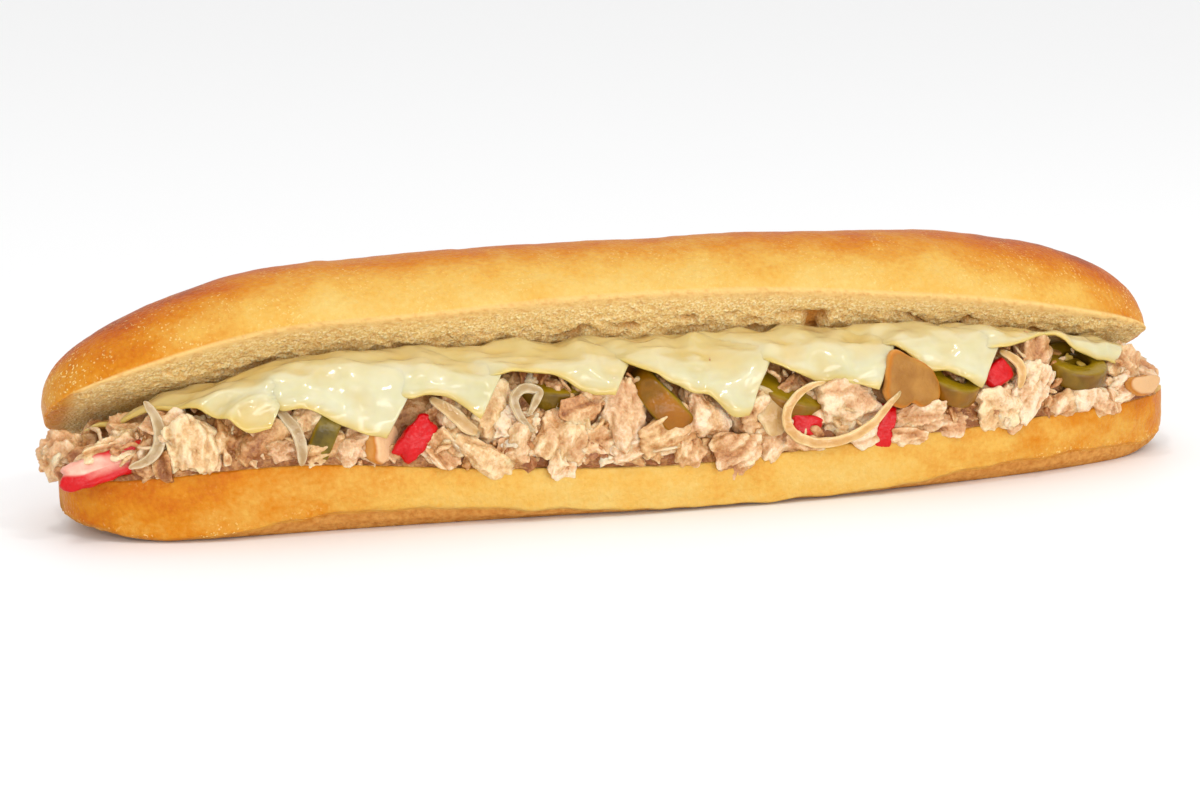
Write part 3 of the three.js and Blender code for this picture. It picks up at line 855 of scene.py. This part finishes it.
def cheese_material():
    material, tree = new_material("cheese", 0.26, 0.4, (0.4, (1, 0.75, 0.3), 0.004), (0.6, 0.05))
    colour = grain(tree, 9, 2).ranged(0.3, 0.7).mix((197, 189, 145), (211, 205, 172))
    # Painted shade: deeper yellow where the slices lie in shade, and in the tongue's middle
    colour = value(tree, "warm").ranged(0, 1, 0, 0.8).mix(colour, (208, 174, 92))
    colour = (value(tree, "edge") * 0.8).mix(colour, (200, 168, 72))
    return surfaced(material, colour, grain(tree, 5, 1), 0.6)


# ---- pulled chicken

PLUMP = 1.25  # the big pieces are wider and taller than they show, by this factor
HOLLOWS = 7  # hollow sides of a torn piece

# The torn pieces that show in front: x and turn on the heap, lift, width along the fibres, height, depth, the
# fibres' spin in degrees, paleness from 0 to 1 and, where it isn't random, the curl about the fibres
BIG_PIECES = [
    (-153, 30, -2, 9, 8, 7, 60, 0.6), (-151, 70, -2.5, 12, 9, 9, 20, 0.6),
    (-145, 95, -3.5, 13, 9, 9, 70, 0.6), (-134, 75, -5, 13, 9, 9, 0, 0.6),
    (-141, 44, -2, 15, 7, 9, 8, 0.75), (-133, 13, -3.5, 9, 9, 7, 40, 0.3),
    (-127, 47, -2, 11, 9, 8, 50, 0.6), (-124.5, 23, -2.5, 12.5, 15, 10, 86, 0.85),
    (-114, 13, -3.2, 11, 8, 7, 75, 0.3), (-107, 10, -1.8, 13, 11, 5, 35, 0.35, 1.3),
    (-102, 4, -2.5, 8, 7, 6, 10, 0.5), (-96, 17, -2.5, 9, 9, 7, -30, 0.7),
    (-92, 3, -2, 12, 7, 6, 15, 0.55), (-85, 7, -2.5, 11, 9, 7, 70, 0.6),
    (-73, 2, -3, 7, 7, 6, 20, 0.55), (-63, 6, -2.5, 10, 8, 7, -50, 0.6),
    (-61, 25, -3.5, 11, 9, 8, 20, 0.5), (-48, 26, -3, 11, 10, 8, 30, 0.85),
    (-44, 15, -2.5, 10, 9, 8, -10, 0.95), (-42, 7, -2.5, 16, 11, 9, 25, 0.6),
    (-57, 18, -3.5, 13, 9, 8, 40, 0.45), (-53, 3, 0.6, 15, 6, 4.5, -34, 0.75),
    (-32, 9, -2.5, 12, 12, 9, 60, 0.7), (-33, 1, 0.5, 7, 7, 5, 80, 0.85),
    (-24, 5, -2, 11, 9, 8, 15, 0.55), (-27, 25, -2, 14, 6, 6, 14, 0.4),
    (-21, 36, -2.5, 13, 8, 7, -20, 0.4), (-15, 22, -2, 17, 11, 9, 84, 0.75),
    (-11, 4, -2, 15, 7, 7, 12, 0.8), (-5, 11, -0.8, 13, 9, 6, 20, 0.55),
    (4, 20, -1.5, 13, 12, 9, 82, 0.7), (0, 3, -1, 9, 8, 6, 60, 0.55),
    (20, 12, -2.5, 9, 14, 7, 20, 0.5), (13, 2, 0.5, 12, 11, 7, 35, 0.5),
    (10, 28, -3.5, 9, 8, 7, -40, 0.5), (24, 6, -2, 12, 9, 5, 50, 0.6, -0.9),
    (29, 22, -4, 10, 9, 7, 30, 0.4), (33, 1, -1, 12, 5, 5, 0, 0.5),
    (38, 21, -3, 10, 9, 7, 60, 0.6), (45, 17, -2.2, 14, 13, 8, 15, 0.75),
    (42, 9, -3, 12, 8, 7, -20, 0.6), (50, 2, 0, 10, 6, 5, 10, 0.85),
    (67, 5, -1.5, 16, 9, 8, 8, 0.65), (61, 0, -0.5, 9, 5, 5, 0, 0.6),
    (79, 5, -3.5, 12, 7, 6, -10, 0.2), (89, 8, -2, 12, 11, 9, 10, 0.9),
    (98, 13, -1.5, 14, 12, 10, 50, 0.85), (101, 33, -2, 12, 10, 8, 75, 0.55),
    (94, 2, 0, 8, 6, 5, 30, 0.7), (112, 4, -1.5, 12, 6, 6, 10, 0.75),
    (119, 6, -2, 12, 8, 7, -15, 0.65), (108, 3, -1, 11, 6, 5, 10, 0.55),
    (72, 1, -1, 10, 5, 5, 0, 0.5), (128, 6, -3, 10, 7, 7, 20, 0.75),
    (131, 40, -2, 9, 12, 7, 70, 0.65), (134, 62, -2.5, 6, 6, 5, 30, 0.85),
    (137, 22, -4, 11, 7, 7, 0, 0.5),
]
LEFT_PIECES = 30  # this many of them are in the left object, so that neither has too many triangles


def meat_piece(directions, size, seed, pale, curl=0.0):
    """A torn lump of meat: hollow sides between ragged rims, grainy along its fibres, with frayed ends."""
    random = np.random.default_rng(seed)
    sides = np.concatenate([unit(random.normal(size=(HOLLOWS, 3))), np.eye(3), -np.eye(3)])
    distance = np.append(random.uniform(0.6, 0.95, HOLLOWS), np.ones(6))
    share = directions @ (sides / distance[:, None]).T
    reach = (np.maximum(0, share) ** 5).sum(axis=1) ** (-1 / 5)
    nearest = np.sort(share, axis=1)[:, -2:]
    rim = smoothstep(0.6, 0.98, nearest[:, 0] / nearest[:, 1])
    shape = directions * reach[:, None]
    half = np.array(size) / 2
    points = shape * half
    outward = unit(shape / half)
    place = random.uniform(-500, 500, 3)
    scale = min(1.0, min(size) / 8)
    lumps = layered(points * [0.13, 0.2, 0.2] + place, 2, 53)
    rags = layered(points * 0.4 + place, 2, 52)
    fibres = noise(points * [0.22, 0.9, 0.9] + place, 51)
    flaky = random.uniform(0.4, 1)
    folds = flaky * (billows(points * [0.09, 0.24, 0.24] + place, 2, 60) - 0.35)
    grains = layered(points * 0.85 + place, 2, 56)
    rough = smoothstep(-0.4, 0.5, noise(points * 0.16 + place, 59))
    move = 2 * lumps + 2 * folds + rim * (0.3 + 1.2 * rags) - 0.6 * (1 - rim) + 0.3 * fibres
    points = points + outward * scale * (move + (0.3 + 0.5 * rough) * grains)[:, None]
    tips = smoothstep(0.45, 1.0, np.abs(shape[:, 0]))
    across = points[:, [1, 2, 1]]
    fray = noise(across * 0.45 + place, 57) + 0.3 * noise(across * 1.1 + place, 58)
    points[:, 0] += np.sign(shape[:, 0]) * tips * scale * 1.1 * fray
    bend = (curl or random.uniform(-0.6, 0.6)) * 2 / size[1]
    angle = points[:, 1] * bend
    radius = 1 / bend + points[:, 2]
    points[:, 1] = radius * np.sin(angle)
    points[:, 2] = radius * np.cos(angle) - 1 / bend
    # Painted shade and highlights: the tone follows the relief, darker down in the creases between folds and
    # on sunken lumps, fibres and grains, and paler on raised ones and along the ragged rims; the piece's own
    # paleness sets the rest
    tone = pale - 0.08 + 0.2 * (rim - 0.4) + 0.15 * lumps + 0.9 * folds
    tone += 0.3 * rim * rags + 0.12 * fibres + 0.25 * grains
    return points, {"tone": tone, "rosy": np.full(len(points), random.uniform(0, 1))}


def laid_on_heap(points, x, turn, lift, **turns):
    return turned(points, **turns) + lifted_point(x, turn, lift)


def heap_tip(turn):
    """How far back a piece leans where the heap curves away at this turn."""
    return float(np.clip((turn - 10) * 0.9, 0, 90))


def big_chicken(name, pieces, seed):
    directions, faces = ball(5)
    parts = []
    for i, (x, turn, lift, wide, tall, deep, spin, *look) in enumerate(pieces):
        points, values = meat_piece(directions, (PLUMP * wide, PLUMP * tall, deep), seed + i, *look)
        parts.append((laid_on_heap(points, x, turn, lift, tip=heap_tip(turn), spin=spin), faces, values))
    return joined_object(name, parts)


def scattered_chicken(name, count, divisions, sizes, lifts, turns, seed, places=(-152, 134)):
    """Smaller torn pieces strewn over the open side of the heap, between two turns, and over its left end.

    Their sizes, lifts and places along the roll are also between two values.
    """
    directions, faces = ball(divisions)
    random = np.random.default_rng(seed)
    parts = []
    for i in range(count):
        x = random.uniform(*places)
        turn = random.uniform(0, 160) if x < -138 else random.uniform(*turns)
        length = random.uniform(*sizes)
        size = (length, length * random.uniform(0.5, 0.8), length * random.uniform(0.4, 0.7))
        points, values = meat_piece(directions, size, seed * 1000 + i, random.uniform(0.1, 0.8))
        pose = {"tip": heap_tip(turn), "spin": random.uniform(0, 360), "yaw": random.uniform(-40, 40)}
        parts.append((laid_on_heap(points, x, turn, random.uniform(*lifts), **pose), faces, values))
    return joined_object(name, parts)


def tube(path, wide, thick, sides=8, steps=24, taper=0.0, square=1.0):
    """A strand along a smooth path, wide along Z and thin across, with its two ends closed.

    Its section is round where square is 1, and boxier the closer that is to 0.
    """
    share = np.linspace(0, 1, steps)
    path = np.asarray(path, float)
    line = np.stack([smooth_list(path[:, axis], share) for axis in range(3)], -1)
    along = unit(np.gradient(line, axis=0))
    across = unit(np.cross(along, [0, 0, 1]))
    up = np.cross(across, along)
    angle = even_angles(sides)
    cosine, sine = signed_power(np.cos(angle), square), signed_power(np.sin(angle), square)
    from_middle = np.abs(2 * share - 1)
    ends = np.sqrt(np.clip(1 - from_middle ** 8, 0, 1)) * (1 - taper * from_middle ** 2)
    ends = np.maximum(0.15, ends)[1:-1, None, None]
    rings = line[1:-1, None] + ends * (
        thick / 2 * cosine[None, :, None] * across[1:-1, None]
        + wide / 2 * sine[None, :, None] * up[1:-1, None]
    )
    points = np.concatenate([rings.reshape(-1, 3), line[:1], line[-1:]])
    return points, loft_faces(steps - 2, sides)


def chicken_shreds(count, seed):
    """Loose fibres that stick out between the pieces."""
    random = np.random.default_rng(seed)
    parts = []
    for _ in range(count):
        x = random.uniform(-153, 136)
        turn = random.uniform(0, 150 if x < -140 else 55)
        length = random.uniform(4, 9)
        thick = random.uniform(0.8, 1.5)
        bow = random.uniform(-0.15, 0.15, 2) * length
        path = [[-length / 2, 0, -1.2], [-length / 6, bow[0], 0.5]]
        path += [[length / 6, bow[1], 0.4], [length / 2, 0, -1.2]]
        points, faces = tube(path, thick * random.uniform(1, 2), thick, 6, 12, 0.6)
        points = jostled(points, 0.25, 1.5, 61, apart=9)
        tone = np.full(len(points), random.uniform(0.3, 0.95))
        pose = {"tip": heap_tip(turn), "spin": random.uniform(0, 360), "yaw": random.uniform(-30, 30)}
        points = laid_on_heap(points, x, turn, random.uniform(-1.5, 0.6), **pose)
        parts.append((points, faces, {"tone": tone, "rosy": 0 * tone + random.uniform(0, 1)}))
    return joined_object("chicken_shreds", parts)


def chicken_core():
    """The middle of the heap, seen only in the gaps between the pieces."""
    rings, around = 270, 70
    x = stations(*FILLING_ENDS, rings)
    turn = np.linspace(0, 180, around)
    grid = lifted_point(x[:, None], turn[None], -3.6 + 2.4 * smoothstep(12, 2, turn)[None])
    foot = along_roll(RIM_HEIGHTS, x)[:, None] + GAP / 2
    grid[..., 2] = np.maximum(grid[..., 2], foot + 0.3 * np.sin(np.radians(turn)))
    outward = unit(grid - [0, 0, 20] - grid.mean(axis=1, keepdims=True) * [1, 1, 0])
    lumps = layered(grid / 4.5, 3, 65)
    grid[..., 1:] += 1.3 * outward[..., 1:] * lumps[..., None]
    poles = [[end, along_roll(CENTRE_LINE, end), along_roll(RIM_HEIGHTS, end) + 4] for end in FILLING_ENDS]
    points = np.concatenate([grid.reshape(-1, 3), poles])
    # Painted shade: the core is toned darker towards its foot along the rim, where it lies deep between the
    # pieces, darker on sunken lumps than on raised ones, and given the orange hue of chicken in shade
    shade = 0.3 - 0.25 * smoothstep(16, 4, turn)
    tone = np.append((shade + 0.6 * lumps).ravel(), [0.3, 0.3]) + 0.3 * noise(points / 1.3, 67)
    faces = facing_out(points, loft_faces(rings, around))
    return new_object("chicken_core", points, faces, {"tone": tone, "rosy": 0 * tone - 0.4})


def chicken_material():
    material, tree = new_material("chicken", 0.38, 0.45, (0.3, (1, 0.45, 0.25), 0.002))
    granules = grain(tree, 0.75, 2)
    # Painted shade and highlights: granules that stand up in the relief are paler, sunken ones darker
    tone = value(tree, "tone") + granules.ranged(0.3, 0.7, -0.13, 0.13)
    tan = tone.ramp({0.0: (140, 80, 30), 0.35: (188, 132, 74), 0.7: (216, 175, 122), 1.0: (234, 207, 162)})
    pink = tone.ramp({0.0: (146, 84, 40), 0.35: (194, 138, 88), 0.7: (218, 177, 134), 1.0: (236, 210, 178)})
    rosy = value(tree, "rosy") + grain(tree, 7, 1).ranged(0.3, 0.7, -0.4, 0.4)
    return surfaced(material, rosy.ranged(0, 1).mix(tan, pink), granules, 0.5)


# ---- vegetables

BOXY = 0.35  # the power that squares the section of a jalapeño ring
SEEDS = 3  # of a jalapeño ring
SEED_HALF_SIZE = [1.6, 1.2, 0.5]


def jalapeno_ring(seed, outer, inner, thick, ripe=0.6):
    """A ring cut across a jalapeño: a skin, browner the riper it is, thick flesh, and seeds in its hole."""
    around, section = 96, 28
    angle = even_angles(around)[:, None]
    turn = even_angles(section)[None]
    random = np.random.default_rng(seed)
    phase = random.uniform(0, 6, 3)
    rim = outer * (1 + 0.035 * np.cos(2 * angle + phase[0]) + 0.02 * np.cos(3 * angle + phase[1]))
    hole = inner * (0.94 + 0.09 * np.cos(3 * angle + phase[2]))
    out, up = signed_power(np.cos(turn), BOXY), signed_power(np.sin(turn), BOXY)
    radius = (rim + hole) / 2 + (rim - hole) / 2 * out
    points = spots(radius * np.cos(angle), radius * np.sin(angle), thick / 2 * up).reshape(-1, 3)
    points[:, 2] += 0.5 * noise(points / 8 + 10 * seed, 71)
    skin = smoothstep(0.75, 0.98, out + 0 * angle).ravel()
    # Painted shade: the wall of the ring's hole is painted dark, as shade falls in the hole, and the pith in
    # it part-way dark
    inside = smoothstep(-0.5, -0.95, out + 0 * angle).ravel()
    none = 0 * skin
    values = {"skin": skin, "inside": inside, "seed": none, "ripe": none + ripe}
    parts = [(points, ring_faces(around, section, True), values)]
    directions, faces = ball(3)
    pith = directions * [0.98 * inner, 0.98 * inner, 0.2 * thick] + [0, 0, 0.1 * thick]
    pith[:, 2] += 0.8 * noise(pith / 2.5 + 20 * seed, 72)
    none = np.zeros(len(directions))
    parts.append((pith, faces, {"skin": none, "inside": none + 0.4, "seed": none, "ripe": none}))
    for _ in range(SEEDS):
        where = random.uniform(0, 2 * math.pi)
        seed_points = directions * SEED_HALF_SIZE @ np.array(Euler(random.uniform(0, 3, 3)).to_matrix()).T
        seed_points += [0.6 * inner * math.cos(where), 0.6 * inner * math.sin(where), 0.3 * thick]
        parts.append((seed_points, faces, {"skin": none, "inside": none, "seed": none + 1, "ripe": none}))
    return parts


def pillow(outline, thick, edge, rings=16):
    """A slab with rounded edges. The outline gives its radius at each of the angles around it."""
    angle = even_angles(len(outline))
    arc = np.linspace(-math.pi / 2, math.pi / 2, 2 * rings + 1)[1:-1, None]
    share = signed_power(np.cos(arc), edge)
    points = spots(share * outline * np.cos(angle), share * outline * np.sin(angle), thick / 2 * np.sin(arc))
    points = np.concatenate([points.reshape(-1, 3), [[0, 0, -thick / 2], [0, 0, thick / 2]]])
    rim = np.append(np.repeat(share ** 3, len(outline)), [0, 0])
    return points, loft_faces(len(arc), len(outline)), rim


def mushroom_slice(seed, radii, thick, pale=0.0):
    """A slice of mushroom, browned around its rim. The radii are those of its outline at even angles."""
    angle = even_angles(144)
    radius = smooth_loop(radii, angle / (2 * math.pi))
    radius = radius + 0.15 * noise(spots(np.cos(angle), np.sin(angle), seed) * 3, 73)
    points, faces, rim = pillow(radius, thick, 0.22)
    return [(jostled(points, 0.3, 4, 74, seed), faces, {"rim": rim, "pale": 0 * rim + pale})]


def pepper_strip(seed, long, wide, bulge, thick=3, pale=0.0):
    """A strip of red pepper that lies along X, bulging towards +Z. A pale one shows its white flesh above."""
    angle = even_angles(96)
    around = spots(np.cos(angle), np.sin(angle), seed)
    square = (np.abs(around[:, 0]) ** 5 + np.abs(around[:, 1]) ** 5) ** -0.2
    wave = 1 + 0.16 * noise(around * 1.6, 75) + 0.05 * noise(around * 6, 79)
    points, faces, _ = pillow(square * wave, thick, 0.25)
    y = points[:, 1]
    points = points * [long / 2, wide / 2, 1]
    points[:, 2] -= bulge * (points[:, 0] / (long / 2)) ** 2
    points[:, 2] += 0.5 * noise(points / [5, 2.4, 9] + seed, 80)
    points = jostled(points, 0.3, 2.4, 76, seed)
    streaks = noise(points / [7, 1.2, 3] + seed, 81)
    below = smoothstep(-0.3, 0.05, y + 0.2 * streaks + 0.6 * points[:, 0] / long)
    corner = smoothstep(0.9, 0.4, y + 2 * points[:, 0] / long)
    flesh = pale * below * corner * (0.8 + 0.35 * streaks)
    return [(points, faces, {"flesh": flesh})]


def onion_strand(seed, path, thick, wide=1.2, fried=0.0):
    """A flat strand of onion, paler along its edges, from glassy to golden as it is fried."""
    sides, steps = 24, 12 * (len(path) - 1) + 2
    points, faces = tube(path, wide, thick, sides, steps, 0.5, 0.35)
    points = jostled(points, 0.15, 2.6, 77, seed)
    around = np.append(np.tile(np.arange(sides), steps - 2), [0, 0]) * 2 * math.pi / sides
    rib = 0.2 + 0.8 * np.cos(around) ** 4 + 0.25 * np.cos(6 * around) + 0.3 * noise(points / 2 + seed, 78)
    return [(points, faces, {"rib": rib, "fried": 0 * rib + fried})]


# Each lies on the heap at an x, a turn and a lift, as its CAD node does, and is then turned
TURNS = ("tip", "spin", "lean", "yaw")
VEGETABLES = {
    "jalapeno_ring": [
        dict(at=(-91, 14, -7), tip=-18, yaw=82, outer=9.5, inner=4, thick=6, ripe=0),
        dict(at=(-31, 60, -7.5), tip=74, lean=-4, outer=11.5, inner=4, thick=6, ripe=0.2),
        dict(at=(-3, 30, -8), tip=42, yaw=80, outer=11.5, inner=5, thick=7.5, ripe=0.8),
        dict(at=(31, 33, -7.5), tip=62, lean=14, outer=11.5, inner=4, thick=7),
        dict(at=(76, 22, -3.5), tip=66, lean=8, yaw=8, outer=8.2, inner=3.3, thick=5.5),
        dict(at=(115.5, 32, -3.5), tip=72, lean=4, outer=9, inner=3.6, thick=5.5, ripe=0.3),
    ],
    "mushroom_slice": [
        dict(at=(-77.5, 7, -2.2), yaw=38, thick=5, pale=1, radii=[4.8, 5.5, 5.5] * 4),
        dict(at=(62, 24.5, 1.6), tip=8, yaw=6, thick=4,
             radii=[7.6, 6.4, 5.8, 6.4, 9.8, 8.6, 8, 8.8, 7.6, 5.6, 8.4, 9.2]),
        dict(at=(136, 15, 2.5), tip=14, yaw=14, thick=4, pale=0.7,
             radii=[5.6, 2.6, 1.4, 1.2, 1.4, 2.6, 5.6, 5, 4.4, 4.2, 4.4, 5]),
    ],
    "red_pepper": [
        dict(at=(-143, 15, 0.2), tip=12, spin=14, long=24, wide=7.2, bulge=1.5, pale=1),
        dict(at=(-69.3, 10, 0), tip=10, spin=50, long=12.5, wide=6.8, thick=3.5, bulge=1),
        dict(at=(32.5, 8, -0.5), tip=5, spin=-15, long=8.5, wide=6, bulge=0.5),
        dict(at=(54.5, 3, -0.3), tip=5, spin=76, long=12, wide=5.2, bulge=0.8),
        dict(at=(89, 24, -0.5), tip=15, spin=30, long=8, wide=6.5, bulge=0.5),
    ],
    "onion_strand": [
        dict(at=(-134, 27, 1.4), tip=20, wide=1.3, thick=3,
             path=[[0, 11, -1.5], [1.8, 7, 0.5], [2.6, 3, 1], [1.8, -1, 0.9], [-1, -3.8, 0.6],
             [-5.6, -5.2, 0]]),
        dict(at=(-100, 9, 1.2), tip=10, thick=3,
             path=[[-4, 9, -1], [0, 4, 0.6], [1.8, -1, 0.8], [1.6, -6, 0]]),
        dict(at=(-59, 22, 0.2), tip=25, thick=3.6, fried=0.6,
             path=[[-6, 5, 0], [-1.3, 1, 0.8], [2.2, -3, 0.8], [5, -4.6, 0]]),
        dict(at=(-41.5, 27, 0.6), tip=20, wide=2.2, thick=2.4,
             path=[[2, -7, 0], [-1.5, -3, 0.6], [-3, 1.5, 1], [-0.5, 4.2, 1], [3.5, 3.2, 1], [2, 0, 1.4],
             [0.3, -2.5, 1.2]]),
        dict(at=(-28, 16, -0.6), tip=15, thick=3.4, fried=0.8,
             path=[[-3, 4.5, 0], [0.5, 2, 0.8], [1.5, -1.5, 0.6], [0, -4.5, 0]]),
        dict(at=(22, 15, -0.6), tip=12, thick=8, fried=0.7,
             path=[[-4, 7, -1], [-0.5, 3, 0.4], [1.5, -1, 0.8], [2, -5.5, 0.2]]),
        dict(at=(35.5, 12, 2.2), thick=2.7, fried=1,
             path=[[1.5, 8.8, -0.6], [-4.4, 7.4, 0], [-9.2, 2.6, 0.3], [-8.4, -3, 0.3], [-2.5, -6.6, 0.4],
             [6, -6.6, 0.6], [13.5, -3.4, 0.8], [19, 1.8, 0.6], [22.5, 5, 0]]),
        dict(at=(93, 23, 0.4), tip=15, thick=2.6, fried=1,
             path=[[-3, 6.5, -0.5], [1, 3.5, 0.6], [2.2, 0, 0.8], [1.5, -4, 0.2]]),
    ],
}


def jalapeno_material():
    material, tree = new_material("jalapeno", 0.3, 0.2, (0.12, (1, 0.9, 0.2), 0.002), (0.2, 0.12))
    flesh = grain(tree, 3, 3).mix((124, 98, 4), (158, 126, 16))
    olive = grain(tree, 5, 3).ranged(0.35, 0.65).mix((80, 64, 6), (132, 110, 26))
    brown = grain(tree, 6, 2).ranged(0.35, 0.65).mix((120, 76, 0), (160, 92, 2))
    colour = value(tree, "skin").mix(flesh, value(tree, "ripe").mix(olive, brown))
    # Painted shade: dark olive brown on the wall of the ring's hole and part-way on its pith
    colour = value(tree, "inside").mix(colour, (74, 52, 4))
    colour = value(tree, "seed").mix(colour, (190, 156, 70))
    return surfaced(material, colour, grain(tree, 2, 2), 0.3)


def mushroom_material():
    material, tree = new_material("mushroom", 0.4, 0.25, (0.2, (1, 0.6, 0.3), 0.002))
    flesh = grain(tree, 6, 3).ranged(0.35, 0.65).mix((150, 98, 30), (174, 122, 50))
    flesh = value(tree, "pale").mix(flesh, (222, 180, 134))
    from_middle = value(tree, "rim")
    rim = from_middle.ramp({0.5: (172, 96, 14), 0.85: (190, 116, 30), 1.0: (204, 144, 72)})
    ragged = from_middle + grain(tree, 2).ranged(0, 1, -0.1, 0.1)
    return surfaced(material, ragged.ranged(0.6, 0.85).mix(flesh, rim), grain(tree, 1.0, 3), 0.25)


def pepper_material():
    material, tree = new_material("red_pepper", 0.3, 0.25, (0.15, (1, 0.2, 0.2), 0.001), (0.12, 0.1))
    skin = grain(tree, 2.5, 2).mix((180, 0, 6), (208, 4, 12))
    flesh = grain(tree, 2.5, 2).mix((222, 152, 132), (238, 204, 178))
    return surfaced(material, value(tree, "flesh").mix(skin, flesh), grain(tree, 0.9, 2), 0.25)


def onion_material():
    material, tree = new_material("onion", 0.25, 0.4, (0.6, (1, 0.85, 0.6), 0.003), (0.4, 0.08))
    rib = value(tree, "rib")
    glassy = rib.mix((164, 134, 88), (220, 206, 174))
    golden = rib.mix((196, 150, 84), (236, 208, 156))
    return surfaced(material, value(tree, "fried").mix(glassy, golden), grain(tree, 1.0, 2), 0.2)


# What makes each kind, its look's name, its slot in the record and its material
KINDS = {
    "jalapeno_ring": (jalapeno_ring, "pickled_jalapeno", "jalapeno", jalapeno_material),
    "mushroom_slice": (mushroom_slice, "fried_mushroom", "mushroom", mushroom_material),
    "red_pepper": (pepper_strip, "pepper_strip", "red_pepper", pepper_material),
    "onion_strand": (onion_strand, "fried_onion", "onion", onion_material),
}


def add_vegetables():
    for kind, pieces in VEGETABLES.items():
        make, look, slot, make_material = KINDS[kind]
        material = make_material()
        for number, piece in enumerate(pieces, 1):
            turns = {key: piece[key] for key in TURNS if key in piece}
            sizes = {key: size for key, size in piece.items() if key not in ("at", *TURNS)}
            parts = [(laid_on_heap(points, *piece["at"], **turns), faces, values)
                     for points, faces, values in make(number, **sizes)]
            stand_for(joined_object(f"{look}_{number}", parts), [f"{kind}_{number}"], material)


# ---- build

def stand_for(thing, nodes, material):
    """Puts a finished piece in the place of its CAD nodes."""
    thing.data.materials.clear()
    thing.data.materials.append(material)
    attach(thing, "root")
    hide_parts(*nodes)


add_camera()
make_stage()
add_sun(**SUN)
for softbox in SOFTBOXES:
    add_softbox(*softbox)

bread = union_of(crown_mesh(), heel_mesh(), "bread_roll")
shape_bread(bread)
stand_for(bread, ["bread"], bread_material())

cheese = cheese_material()
for number, sizes in enumerate(SLICES, 1):
    stand_for(cheese_slice(number, **sizes), [f"cheese_slice_{number}"], cheese)

# Each kind of small piece has its count, divisions, sizes, lifts, turns, seed and places along the roll
chicken = chicken_material()
for heap in (
    chicken_core(),
    big_chicken("chicken_pieces_left", BIG_PIECES[:LEFT_PIECES], 100),
    big_chicken("chicken_pieces_right", BIG_PIECES[LEFT_PIECES:], 200),
    scattered_chicken("chicken_bits", 84, 4, (5, 10), (-5, -2.5), (6, 62), 5),
    scattered_chicken("chicken_rim_bits", 62, 4, (4, 8), (-2.4, -0.6), (0, 6), 9),
    scattered_chicken("chicken_end_bits", 16, 4, (8, 12), (-13, -3), (35, 170), 12, (141, 144)),
    scattered_chicken("chicken_crumbs", 150, 3, (1.4, 3.4), (-2.5, -0.5), (0, 60), 6),
    chicken_shreds(36, 8),
):
    stand_for(heap, ["chicken_filling"], chicken)

add_vegetables()
